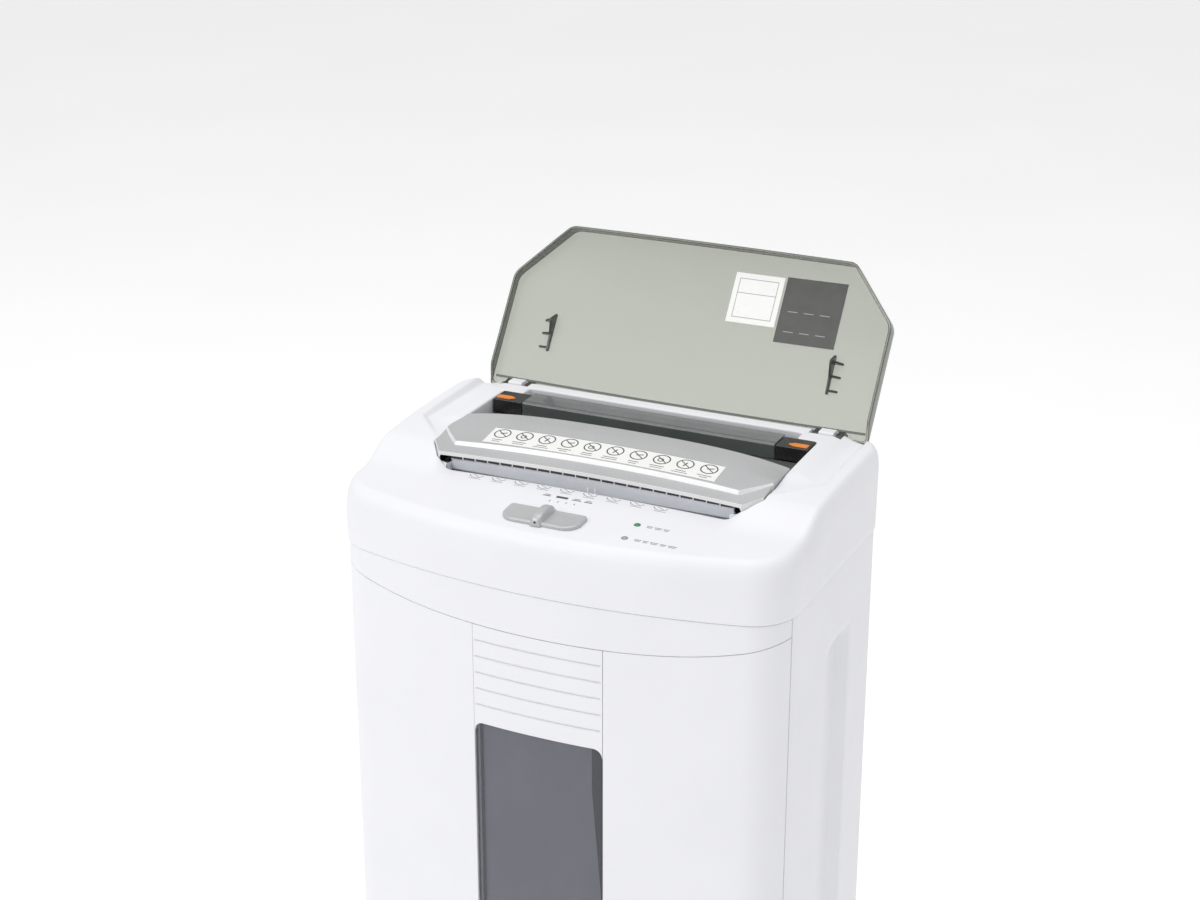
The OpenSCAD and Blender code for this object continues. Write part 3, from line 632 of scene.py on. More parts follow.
def column_panel():
    first_groove, pitch = SEAM - 43.6, 12.6
    near_end = np.linspace(0.86, 1, 15) * WINDOW_HALF
    xs = np.unique(np.concatenate([np.linspace(-1, 1, 41) * WINDOW_HALF, near_end, -near_end]))
    run = bow_run(xs)
    lowest = WINDOW_TOP + 1.0
    rows, insets = [], []
    for share in np.linspace(0, 1, 4)[:-1]:
        edge = window_edge(xs) + GAP
        rows.append(edge + share * (lowest - edge))
        insets.append(0 * xs)
    profile = [(-0.95, 0), (-0.65, 0.35), (-0.35, 1.3), (0.35, 1.35), (0.65, 0.4), (0.95, 0)]
    fade = smoothstep(WINDOW_HALF - 0.9, WINDOW_HALF - 2.2, np.abs(xs))
    rows.append(lowest + 0 * xs)
    insets.append(0 * xs)
    for i in range(4, -1, -1):
        for dz, depth in profile:
            rows.append(first_groove - pitch * i + dz + 0 * xs)
            insets.append(depth * fade)
    rows.append(smile(xs) - GAP)
    insets.append(0 * xs)
    heights, insets = np.array(rows), np.array(insets)
    bm = bmesh.new()
    add_slab(bm, run_surface(run, heights, insets), run_surface(run, heights, 3), soft=0.35)
    piece_from(bm, "column_skin", "bin", "casing_white", replaced=["column_panel"])


def window_pane():
    half = WINDOW_HALF - 0.4
    xs = np.linspace(-half, half, 61)
    run = bow_run(xs)
    top = window_edge(xs * WINDOW_HALF / half) - 0.2
    bottom = WINDOW_LOW + WINDOW_CORNER - corner_rise(xs, half) + GAP
    heights = bottom + np.linspace(0, 1, 14)[:, None] * (top - bottom)
    bm = bmesh.new()
    add_slab(bm, run_surface(run, heights, 0.5), run_surface(run, heights, 3.0), soft=0.5)
    piece_from(bm, "window_skin", "bin", "window_smoke", replaced=["window_pane"])

    bm = bmesh.new()
    add_slab(bm, run_surface(run, heights, 5.0), run_surface(run, heights, 6.5))
    piece_from(bm, "window_liner", "bin", "bin_grey")

    inside = BOW_R - math.sqrt(BOW_R**2 - half**2) + 3.2
    bm = bmesh.new()
    add_box(bm, (-half + 0.3, inside, WINDOW_LOW + 4), (-half + 2.0, inside + 1.2, WINDOW_TOP - 3), 0.3)
    piece_from(bm, "window_rib_pale", "bin", "casing_white")
    bm = bmesh.new()
    add_box(bm, (-half + 2.1, inside, WINDOW_LOW + 4), (-half + 4.0, inside + 1.2, WINDOW_TOP - 1.5), 0.3)
    piece_from(bm, "window_rib_dark", "bin", "guide_dark")

    # A dark tapered band behind the pane's right edge, narrowing downwards: painted shade seen through the window.
    taper = [(half - 12.5, WINDOW_TOP - 1), (half - 1, WINDOW_TOP - 4), (half - 1, WINDOW_TOP - 140)]
    bm = bmesh.new()
    add_prism(bm, taper, "y", 6.4, 7.9, 0.2)
    piece_from(bm, "window_painted_shade_band", "bin", "guide_dark")


# ---- Cabinet ----


def side_run(step=2.6):
    """Points and inward normals from the right split line back round the rear to the left one."""
    start = math.asin((SPLIT_Y - CORNER_Y) / CORNER_R)
    parts = [on_arc(CORNER_X, CORNER_Y, CORNER_R, a) for a in np.linspace(start, 0, 7)[:-1]]
    rear_y = BODY_D - REAR_R
    count = int((rear_y - CORNER_Y) / step)
    parts += [(HALF_W, y, -1.0, 0.0) for y in np.linspace(CORNER_Y, rear_y, count)]
    turns = np.linspace(0, math.pi / 2, 19)[1:]
    parts += [on_arc(HALF_W - REAR_R, rear_y, REAR_R, a) for a in turns]
    parts += [(x, BODY_D, 0.0, -1.0) for x in np.linspace(HALF_W - REAR_R, 0, 40)[1:]]
    return both_halves(parts)


FLUTE_FRONT, FLUTE_DEEP, FLUTE_BACK = 104.0, 159.0, 165.0
FLUTE_DEPTH = 9.0


def flute_depth(y, z):
    """Depth of the finger recess in a side face."""
    along = smoothstep(FLUTE_FRONT, FLUTE_DEEP, y) ** 0.9 * (1 - smoothstep(FLUTE_DEEP, FLUTE_BACK, y))
    upper = 1 - smoothstep(SEAM - 66, SEAM - 52, z)
    lower = smoothstep(84, 98, z)
    return FLUTE_DEPTH * along * upper * lower


def cabinet_shell():
    run = side_run()
    recess_ends = [np.linspace(80, 102, 12), np.linspace(SEAM - 70, SEAM - 48, 14)]
    zs = np.unique(np.concatenate([np.linspace(BASE_Z, SEAM - GAP, 60), *recess_ends]))
    heights = zs[:, None] + 0 * run[:, 0]
    on_side = np.abs(run[:, 2]) > 0.999
    inset = np.where(on_side, flute_depth(run[:, 1][None, :], heights), 0)
    bm = bmesh.new()
    add_slab(bm, run_surface(run, heights, inset), run_surface(run, heights, inset + 2.6), soft=0.6)
    piece_from(bm, "cabinet_skin", "root", "casing_white", replaced=["cabinet_shell"])


# ---- Head ----

CROWN = np.vstack([
    [[-10, FASCIA_Z - 18 * math.tan(FASCIA_TILT)], [FASCIA_Y, FASCIA_Z]],
    bezier([FASCIA_END, 47.2], [74, 48.2], [82, 57], [97, 59.8], 60),
    bezier([97, 59.8], [120, 62.4], [150, 63], [190, 63], 60)[1:],
    bezier([190, 63], [205, 63], [220, 63], [236, 62.6], 20)[1:],
])
HEAD_SHARP = 50            # degrees
HEAD_MIDDLE = 140.0        # Y of the point that the head's surface is drawn round
HOPPER_FLOOR = 46.6
FASCIA_BOW = 2.1
HOPPER = [(111, 78.5), (119.5, 82.3), (129.2, 95.2), (128.2, 204), (112, 205), (112, 217)]
# The curve of the head's edge: how far in and how far down, each at the front, the side and the rear.
SHOULDER = [
    ((0.0, 0.0, 0.0), (26.3, 19.0, 8.0)),
    ((0.4, 0.7, 0.0), (10.6, 6.4, 3.4)),
    ((2.6, 2.8, 3.4), (1.9, 0.3, 0.0)),
    ((10.4, 7.6, 8.0), (0.0, 0.0, 0.0)),
]
SEAT_HALF = LID_HALF + 1.2
SEAT_CORNER, SEAT_FRONT = (SEAT_HALF, 135.0), (119.0, 90.4)


def lid_seat(x, y, crown):
    """Height of the dished seat that the closed lid's rim lies in, and how far inside it a point is."""
    plane = HINGE_Z - SEAM - 0.6 + (HINGE_Y - y) * math.tan(math.radians(0.96))
    ax = np.abs(x)
    edge = np.array(SEAT_FRONT) - np.array(SEAT_CORNER)
    inward = np.array([edge[1], -edge[0]]) / np.hypot(*edge)
    diagonal = (ax - SEAT_CORNER[0]) * inward[0] + (y - SEAT_CORNER[1]) * inward[1]
    inside = np.minimum(SEAT_HALF - ax, diagonal)
    rise = smoothstep(5.6, 24, inside)
    return plane + (crown - plane) * rise, inside


def fascia_fall(x, y):
    """How far the fascia falls away to the two sides, more so towards the slot."""
    share = np.clip((np.asarray(y, float) - FASCIA_Y) / 70.5, 0, 1) * (1 - smoothstep(84, 112, y))
    bow = FASCIA_BOW * np.minimum(np.abs(x) / 112, 1.0) ** 2 - 0.3
    return bow * share * (1 - smoothstep(109, 120, np.abs(x)))


def head_top(x, y):
    """Height of the head's upper surface above the parting line."""
    crown = np.interp(y, CROWN[:, 0], CROWN[:, 1])
    level = FASCIA_Z + (y - FASCIA_Y) * math.tan(FASCIA_TILT)
    by_slot = (1 - smoothstep(105, 121, np.abs(x))) * (y < 100)
    crown = crown - by_slot * np.maximum(0, crown - level)
    crown = crown - fascia_fall(x, y)
    seat, inside = lid_seat(x, y, crown)
    return crown - smoothstep(-3.5, 1.4, inside) * np.maximum(0, crown - seat)


def radius_at(angles, depth):
    """Distance from the head's middle to the outline drawn in by depth, along each ray."""
    near, far = np.full(angles.shape, 20.0), np.full(angles.shape, 260.0)
    for _ in range(40):
        mid = (near + far) / 2
        inside = plan_depth(mid * np.cos(angles), HEAD_MIDDLE + mid * np.sin(angles)) > depth
        near, far = np.where(inside, mid, near), np.where(inside, far, mid)
    return near


def radius_to(angles, outline):
    """Distance from the head's middle to a closed outline along each ray."""
    p = np.array(outline) - [0, HEAD_MIDDLE]
    q = np.roll(p, -1, axis=0)
    d = q - p
    c, s = np.cos(angles)[:, None], np.sin(angles)[:, None]
    with np.errstate(divide="ignore", invalid="ignore"):
        along = (p[:, 0] * s - p[:, 1] * c) / (d[:, 1] * c - d[:, 0] * s)
        r = (p[:, 0] + along * d[:, 0]) * c + (p[:, 1] + along * d[:, 1]) * s
    r[~((along >= -1e-9) & (along <= 1 + 1e-9)) | (r < 0)] = 0
    return r.max(axis=1)


def head_casing():
    rim = front_run(CORNER_Y, 1.4)[:, :2]
    back = side_run(1.6)[:, :2]
    outline = np.vstack([rim, back])
    angles = np.unique(np.round(np.arctan2(outline[:, 1] - HEAD_MIDDLE, outline[:, 0]), 5))
    edge_y = HEAD_MIDDLE + radius_at(angles, 0) * np.sin(angles)
    side, rear = smoothstep(20, 95, edge_y), smoothstep(200, 231, edge_y)

    def blend(front_value, side_value, rear_value):
        return (front_value + (side_value - front_value) * side) * (1 - rear) + rear_value * rear

    shoulder = [(blend(*inset), blend(*drop)) for inset, drop in SHOULDER]
    rows = []

    def spot(r):
        return r * np.cos(angles), HEAD_MIDDLE + r * np.sin(angles)

    def add(r, z):
        x, y = spot(r)
        rows.append(np.stack([x, y, SEAM + z + 0 * x], axis=1))

    for inset, z in ((6.0, 0.1), (1.4, 0.1), (0.85, 0.3), (0.5, 1.2)):
        add(radius_at(angles, inset - HEAD_BULGE), z)
    for share in np.linspace(0, 1, 8)[1:]:
        r = radius_at(angles, 0.5 * (1 - share) - HEAD_BULGE)
        wall_top = head_top(*spot(r)) - shoulder[0][1]
        add(r, 1.2 + (wall_top - 1.2) * share)
    for t in np.linspace(0, 1, 25)[1:]:
        weights = ((1 - t) ** 3, 3 * (1 - t) ** 2 * t, 3 * (1 - t) * t * t, t**3)
        inset = sum(w * p[0] for w, p in zip(weights, shoulder))
        drop = sum(w * p[1] for w, p in zip(weights, shoulder))
        r = radius_at(angles, inset - HEAD_BULGE)
        add(r, head_top(*spot(r)) - drop)
    shoulder_r = r
    hopper_r = radius_to(angles, rounded(mirrored(HOPPER), 2.2))
    for share in np.linspace(0, 1, 44)[1:]:
        r = shoulder_r + (hopper_r + 1.4 - shoulder_r) * share
        add(r, head_top(*spot(r)))
    rim_z = head_top(*spot(hopper_r + 1.4))
    for out, drop in ((0.9, 0.14), (0.45, 0.45), (0.12, 0.95), (0.0, 1.6)):
        add(hopper_r + out, rim_z - drop)
    for share in (0.35, 0.7, 1.0):
        add(hopper_r, rim_z - 1.6 + (HOPPER_FLOOR - rim_z + 1.6) * share)
    add(hopper_r + 2.4, HOPPER_FLOOR + 0 * rim_z)
    add(hopper_r + 4.0, np.minimum(rim_z - 3.4, HOPPER_FLOOR))
    add(shoulder_r - 4, np.minimum(head_top(*spot(shoulder_r)), rim_z + 30) - 17)
    add(radius_at(angles, 6.5 - HEAD_BULGE), 12.0)
    bm = bmesh.new()
    add_grid(bm, np.array(rows), wrap_rows=True, wrap_cols=True)
    bmesh.ops.recalc_face_normals(bm, faces=bm.faces)
    cut_pockets(piece_from(bm, "head_skin", "root", "casing_white", replaced=["head_casing"],
                           weighted=False, sharp=HEAD_SHARP))


def cut_pockets(head):
    """Two pockets in the rear edge for the hinge."""
    bm = bmesh.new()
    for side in (-1, 1):
        x = side * BRACKET_X
        add_box(bm, (x - 12.5, 219, SEAM + 49), (x + 12.5, 250, SEAM + 80))
    to_frame(bm)
    cutter = link(bpy.data.objects.new("pocket_cutter", mesh_from(bm, "pocket_cutter")))
    cut = head.modifiers.new("pockets", "BOOLEAN")
    cut.operation, cut.solver, cut.object = "DIFFERENCE", "EXACT", cutter
    graph = bpy.context.evaluated_depsgraph_get()
    result = bpy.data.meshes.new_from_object(head.evaluated_get(graph))
    head.modifiers.clear()
    result.name = "head_skin_cut"
    head.data = result
    bpy.data.objects.remove(cutter)
    head.data.set_sharp_from_angle(angle=math.radians(HEAD_SHARP))


# ---- Plate, label and slot ----

PANEL_LINE = np.array([
    [90, 64.9], [96.4, 66.3], [104, 67.4], [111.7, 68.45],
    [120, 69.6], [132, 71.0], [143.5, 71.6], [152, 71.8],
])
LIP_Y = 81.4
SLOPE_LINE = np.array([[80, 60.45], [81.6, 60.8], [94.6, 63.0], [118, 67.8]])


def panel_top(x, y):
    """Height of the plate's raised panel above the parting line."""
    x, y = np.asarray(x, float), np.asarray(y, float)
    quartic = 0.4e-8 + 1.37e-8 * smoothstep(112, 143, y)
    return np.interp(y, PANEL_LINE[:, 0], PANEL_LINE[:, 1]) - (2.1e-4 * x**2 + quartic * x**4)


def slope_top(x, y):
    """Height of the plate's sloping front above the parting line."""
    return np.interp(y, SLOPE_LINE[:, 0], SLOPE_LINE[:, 1]) - np.asarray(x, float) ** 2 / 4700


def silver_plate():
    edge, lip_end, ridge_end, ridge_bend = 128.6, 118.4, 111, 122.6
    stops = [sign * x for x in (lip_end, ridge_end, ridge_bend) for sign in (-1, 1)]
    xs = np.unique(np.concatenate([np.linspace(-edge, edge, 150), stops]))
    ax = np.abs(xs)
    front = np.interp(ax, [0, lip_end, edge], [LIP_Y, LIP_Y, 95.2])
    slant = np.interp(ax, [ridge_end, ridge_bend, edge], [92.9, 105.0, 112.5])
    ridge = np.where(ax < ridge_end, 94.5 - 1.6 * (ax / ridge_end) ** 2, slant)
    rear = 146.2 + 0 * ax
    rows = [(front, 0.0), (front + 1.1, 0.0)]
    rows += [(front + 1.1 + (ridge - front - 1.1) * share, 0.0) for share in np.linspace(0, 1, 8)[1:]]
    rows += [(ridge + 0.2, 0.05), (ridge + 1.6, 0.95), (ridge + 1.9, 1.0)]
    rows += [(ridge + 1.9 + (rear - ridge - 1.9) * share, 1.0) for share in np.linspace(0, 1, 26)[1:]]
    top = np.array([
        np.stack([xs, y, SEAM + slope_top(xs, y) * (1 - raised) + panel_top(xs, y) * raised], axis=1)
        for y, raised in rows])
    bottom = top - [0, 0, 2.2]
    bottom[:, [0, -1], 2] -= 4.5
    bottom[0, ax > 117.5, 2] -= 3.5
    bm = bmesh.new()
    faces = add_slab(bm, top, bottom)
    # Faces on the front lip and the ridge chamfer take the lighter silver: a painted highlight.
    right = slice(ax.size // 2, None)
    for face in faces:
        middle = face.calc_center_median()
        past_front = middle.y - np.interp(abs(middle.x), ax[right], front[right])
        past_ridge = middle.y - np.interp(abs(middle.x), ax[right], ridge[right])
        face.material_index = int(past_front < 1.1 or 0 < past_ridge < 1.8)
    soften(bm, faces, 0.7, 4, 50)
    piece_from(bm, "plate_skin", "root", "silver_plastic", ("silver_plastic", "silver_painted_highlight"),
               replaced=["silver_plate"])


def on_plate(x, y, lift=0.0):
    """Height above the floor of a point on the raised panel, or that far over it."""
    return SEAM + float(panel_top(x, y)) + lift


LABEL_HALF, LABEL_FRONT, LABEL_REAR = 90.8, 96.9, 120.1


def add_on_plate(bm, outline, lift, thick):
    """A flat mark with that outline in X and Y, laid on the plate."""
    upper = [(x, y, on_plate(x, y, lift + thick)) for x, y in outline]
    under = [(x, y, on_plate(x, y, lift)) for x, y in outline]
    bmesh.ops.recalc_face_normals(bm, faces=add_walls(bm, upper, under))


def bar(centre, length, width, angle):
    along = Vector((math.cos(angle), math.sin(angle))) * length / 2
    sideways = Vector((-math.sin(angle), math.cos(angle))) * width / 2
    middle = Vector(centre)
    signs = ((1, 1), (-1, 1), (-1, -1), (1, -1))
    return [tuple(middle + along * a + sideways * b) for a, b in signs]


def add_ring(bm, centre, radius, width, lift, thick, n=36):
    """A thin raised ring laid on the plate."""
    angles = np.linspace(0, 2 * math.pi, n, endpoint=False)
    section = [(radius + width / 2, lift), (radius + width / 2, lift + thick),
               (radius - width / 2, lift + thick), (radius - width / 2, lift)]

    def point(r, a, up):
        x, y = centre[0] + r * math.cos(a), centre[1] + r * math.sin(a)
        return x, y, on_plate(x, y, up)

    points = np.array([[point(r, a, up) for r, up in section] for a in angles])
    _, faces = add_grid(bm, points, wrap_rows=True, wrap_cols=True)
    bmesh.ops.recalc_face_normals(bm, faces=faces)


def symbol_label():
    rows = np.linspace(LABEL_FRONT, LABEL_REAR, 5)
    bm = bmesh.new()
    columns = np.linspace(-LABEL_HALF, LABEL_HALF, 48)
    grid = np.array([[(x, y, on_plate(x, y, 0.2)) for x in columns] for y in rows])
    add_slab(bm, grid, grid - [0, 0, 0.14], soft=0.03, segments=1)
    piece_from(bm, "label_skin", "root", "label_white", replaced=["symbol_label"])

    bm = bmesh.new()
    for i in range(10):
        x = (i - 4.5) * SYMBOL_PITCH
        add_ring(bm, (x, 111.9), 6.0, 0.95, 0.21, 0.05)
        add_on_plate(bm, bar((x, 111.9), 11.2, 0.8, math.radians(-40)), 0.21, 0.045)
        if i % 3 == 0:
            add_on_plate(bm, bar((x + 0.9, 112.6), 5.2, 1.1, math.radians(20)), 0.21, 0.04)
        if i % 3 == 1:
            add_ring(bm, (x - 0.6, 111.2), 2.0, 0.8, 0.21, 0.04, 16)
        if i % 3 == 2:
            add_on_plate(bm, bar((x, 111.7), 5.6, 1.0, math.radians(75)), 0.21, 0.04)
        add_on_plate(bm, bar((x, 102.6), 8.0 + 3 * (i % 2), 0.7, 0), 0.21, 0.04)
        add_on_plate(bm, bar((x, 100.2), 6.0 + 3 * (i % 3), 0.6, 0), 0.21, 0.04)
    for y in (LABEL_FRONT + 0.3, LABEL_REAR - 0.3):
        for i in range(30):
            add_on_plate(bm, bar((6.02 * (i - 14.5), y), 6.02, 0.3, 0), 0.21, 0.03)
    piece_from(bm, "label_marks", "root", "black_plastic", ("print_grey",), weighted=False)


SLOT_HALF = 110.5
GUIDE_DIR = Vector((33, -37)).normalized()


def lip_line(x, y):
    """Height above the parting line of the line of sight that grazes the plate's lip."""
    return float(slope_top(x, LIP_Y)) - 2.3 - 0.456 * (y - LIP_Y)


def hand_slot():
    end = Vector((88.4, 51.2)) + GUIDE_DIR * 40
    bm = bmesh.new()
    outline = [(86.2, 55.6), (87.4, 44.0), tuple(end),
               (end.x + 1.4, end.y + 1.2), (89.4, 44.6), (88.2, 55.6)]
    add_prism(bm, [(y, SEAM + z) for y, z in outline], "x", -SLOT_HALF, SLOT_HALF, 0.4)
    for side in (-1, 1):
        foot = [(side * SLOT_HALF, 78.7), (side * (SLOT_HALF + 0.5), 78.7), (side * 119.2, 82.6),
                (side * 128.4, 94.6), (side * 127.4, 95.4), (side * 118.3, 83.9), (side * SLOT_HALF, 80.2)]
        add_prism(bm, foot, "z", SEAM + 34, SEAM + 50.6)
        add_prism(bm, foot[2:6], "z", SEAM + 50, SEAM + 55.6)
        x0, x1 = across(side, SLOT_HALF + 0.4, 118.6)
        add_box(bm, (x0, 80.4, SEAM + 46), (x1, 90, SEAM + 47.4), 0.2, 2)
        add_prism(bm, [(side * SLOT_HALF, 79), (side * SLOT_HALF, 87), (side * (SLOT_HALF + 1), 87),
                       (side * (SLOT_HALF + 1), 79)], "z", SEAM + 32, SEAM + 49.5)
    count = 22
    pitch = 2 * SLOT_HALF / count
    for i in range(count):
        x = -SLOT_HALF + 2 * SLOT_HALF * i / count
        top = SEAM + lip_line(x, 86)
        if i:
            add_box(bm, (x - 0.5, 85.5, top - 1.7), (x + 0.5, 86.3, top + 0.6), 0.15, 2)
        add_box(bm, (x, 85.7, top - 1.9), (x + pitch, 86.3, top - 1.5), 0.1, 1)
    piece_from(bm, "slot_rear_skin", "root", "guide_grey", replaced=["slot_rear_guide"])

    bm = bmesh.new()
    for i in range(count):
        x = -SLOT_HALF + 2 * SLOT_HALF * (i + 0.5) / count
        top = SEAM + lip_line(x, 86)
        add_box(bm, (x - 4.5, 85.9, top - 1.4), (x + 4.5, 86.4, top + 0.8), 0.1, 1)
    piece_from(bm, "slot_shadow_strip", "root", "black_plastic")

    bm = bmesh.new()
    for x in (2.7, 8.3):
        add_box(bm, (x - 0.45, 79.0, SEAM + 45.5), (x + 0.45, 80.3, SEAM + 51.6), 0.25, 2)
    piece_from(bm, "sheet_sensor_tabs", "root", "casing_white")


# ---- Fascia: slider, lights and marks ----


def on_fascia(bm):
    """Moves a drawing from the fascia's own plane to its place."""
    matrix = Matrix.Translation((0, FASCIA_Y, SEAM + FASCIA_Z)) @ Matrix.Rotation(FASCIA_TILT, 4, "X")
    bm.transform(matrix)
    for vert in bm.verts:
        vert.co.z -= float(fascia_fall(vert.co.x, vert.co.y))


SLIDER_X = (low("mode_slider").x + high("mode_slider").x) / 2
# The slider's rounded edge: how far in and how high over the fascia.
SLIDER_EDGE = [(1.2, 0.15), (0.1, 0.15), (0.0, 0.5), (0.0, 1.5), (0.25, 2.1), (0.8, 2.55), (1.5, 2.75),
               (2.3, 2.78), (3.2, 2.6), (4.6, 2.5)]


def slider_outline(inset):
    front_r, back_r, half = 11.2, 3.2, 29.7
    corners = [(-(half - front_r), 10.6 + front_r, front_r, math.pi, 1.5 * math.pi),
               (half - front_r, 10.6 + front_r, front_r, 1.5 * math.pi, 2 * math.pi),
               (half - back_r, 33 - back_r, back_r, 0, 0.5 * math.pi),
               (-(half - back_r), 33 - back_r, back_r, 0.5 * math.pi, math.pi)]
    points = []
    for cx, cy, r, a, b in corners:
        points += arc_points((cx, cy), r - inset, a, b, 14)
    return points


def mode_slider():
    bm = bmesh.new()
    rings = []
    for inset, z in SLIDER_EDGE:
        rings.append([(x, y, z) for x, y in slider_outline(inset)])
    verts, faces = add_grid(bm, np.array(rings), wrap_cols=True)
    faces.append(bm.faces.new(verts[0]))
    faces.append(bm.faces.new(verts[-1]))
    bmesh.ops.recalc_face_normals(bm, faces=faces)
    add_ridge(bm)
    bm.transform(Matrix.Translation((SLIDER_X, 0, 0)))
    on_fascia(bm)
    piece_from(bm, "slider_skin", "slider", "silver_plastic", replaced=["mode_slider"], sharp=60)

    bm = bmesh.new()
    circle = [(SLIDER_X + x, 3.4 + z) for x, z in arc_points((0, 0), 0.75, 0, 2 * math.pi, 16)[:-1]]
    add_prism(bm, circle, "y", 8.75, 9.6, 0.12, 1)
    on_fascia(bm)
    piece_from(bm, "slider_dot", "slider", "black_plastic")


def add_ridge(bm):
    """The finger ridge over the middle of the slider."""
    profile = np.vstack([bezier([9.0, 1.2], [9.0, 5.4], [11.5, 8.0], [19.5, 8.2], 14),
                         bezier([19.5, 8.2], [29, 8.2], [35.0, 6.4], [35.2, 1.2], 16)[1:]])
    sweep = np.linspace(0, math.pi, 25)
    rows = []
    for y, top in profile:
        end = min(y - 9.0, 35.2 - y)
        half = 4.3 - 1.4 * (1 - smoothstep(0, 5, end))
        x = half * np.sign(np.cos(sweep)) * np.abs(np.cos(sweep)) ** 0.45
        z = 0.4 + (top - 0.4) * np.abs(np.sin(sweep)) ** 0.55
        flare = 1 + 0.35 * (1 - smoothstep(0.4, 4.5, z))
        rows.append(np.stack([x * flare, y + 0 * x, z], axis=1))
    verts, faces = add_grid(bm, np.array(rows))
    for line in (verts[0], verts[-1]):
        faces.append(bm.faces.new(line))
    faces.append(bm.faces.new([row[0] for row in verts] + [row[-1] for row in reversed(verts)]))
    bmesh.ops.recalc_face_normals(bm, faces=faces)


LIGHT_X = (low("ready_light").x + high("ready_light").x) / 2
READY_Y, ALERT_Y = 38.0, 17.0


def indicator(name, y, node, slot):
    """A domed lens with a fine collar."""
    bm = bmesh.new()
    section = [(2.45, -4.0), (2.45, 0.1), (2.38, 0.3), (2.0, 0.55), (1.3, 0.78), (0.6, 0.88), (0.001, 0.9)]
    angles = np.linspace(0, 2 * math.pi, 40, endpoint=False)
    points = np.array([
        [(LIGHT_X + r * math.cos(a), y + r * math.sin(a), z) for r, z in section] for a in angles])
    verts, faces = add_grid(bm, points, wrap_rows=True)
    faces.append(bm.faces.new([row[0] for row in verts]))
    bmesh.ops.remove_doubles(bm, verts=[row[-1] for row in verts], dist=0.01)
    bmesh.ops.recalc_face_normals(bm, faces=bm.faces)
    on_fascia(bm)
    piece_from(bm, name, "root", slot, replaced=[node], weighted=False)


def add_mark(bm, outline, thick=0.06):
    add_prism(bm, outline, "z", -0.02, thick)


def fascia_marks():
    """Plain ticks by the slider and short dashes where the real object has words."""
    bm = bmesh.new()
    for i in range(4):
        add_mark(bm, bar((SLIDER_X - 8 + 6.2 * i, 48.6 + 0.3 * i), 2.2, 0.55, math.pi / 2))
    add_mark(bm, bar((SLIDER_X - 1.8, 56.0), 9.0, 2.8, 0))
    for x, length in ((-13.5, 6.0), (9.5, 7.0), (18.5, 6.0)):
        add_mark(bm, bar((SLIDER_X + x, 55.4), length, 1.0, 0))
        add_mark(bm, bar((SLIDER_X + x, 57.2), length * 0.7, 0.7, 0))
    on_fascia(bm)
    piece_from(bm, "slider_marks", "root", "black_plastic", ("print_grey",), weighted=False)

    bm = bmesh.new()
    for y, lengths in ((READY_Y, (4.5, 5.5, 4.0)), (ALERT_Y, (5.0, 4.0, 6.0, 4.5, 6.5))):
        x = LIGHT_X + 7
        for length in lengths:
            add_mark(bm, bar((x + length / 2, y + 0.9), length, 1.0, 0))
            add_mark(bm, bar((x + length / 2, y - 0.9), length * 0.8, 1.0, 0))
            x += length + 1.3
    for i in range(9):
        x = (i - 4.5) * SYMBOL_PITCH - 2.5
        arc = arc_points((x, 69.4), 5.8, math.radians(195), math.radians(345), 14)
        inner = arc_points((x, 69.4), 5.1, math.radians(345), math.radians(195), 14)
        add_mark(bm, arc + inner)
        add_mark(bm, bar((x, 67.2), 6.0, 0.6, math.radians(-30)))
        add_mark(bm, bar((x + 1, 62.4), 9.0, 0.6, 0))
    on_fascia(bm)
    piece_from(bm, "fascia_marks", "root", "grey_lens", ("print_pale",), weighted=False)


# ---- Hopper: smoked cover, end blocks and arrows ----


COVER_HALF = 102.4
BLOCK_INNER = 102.8


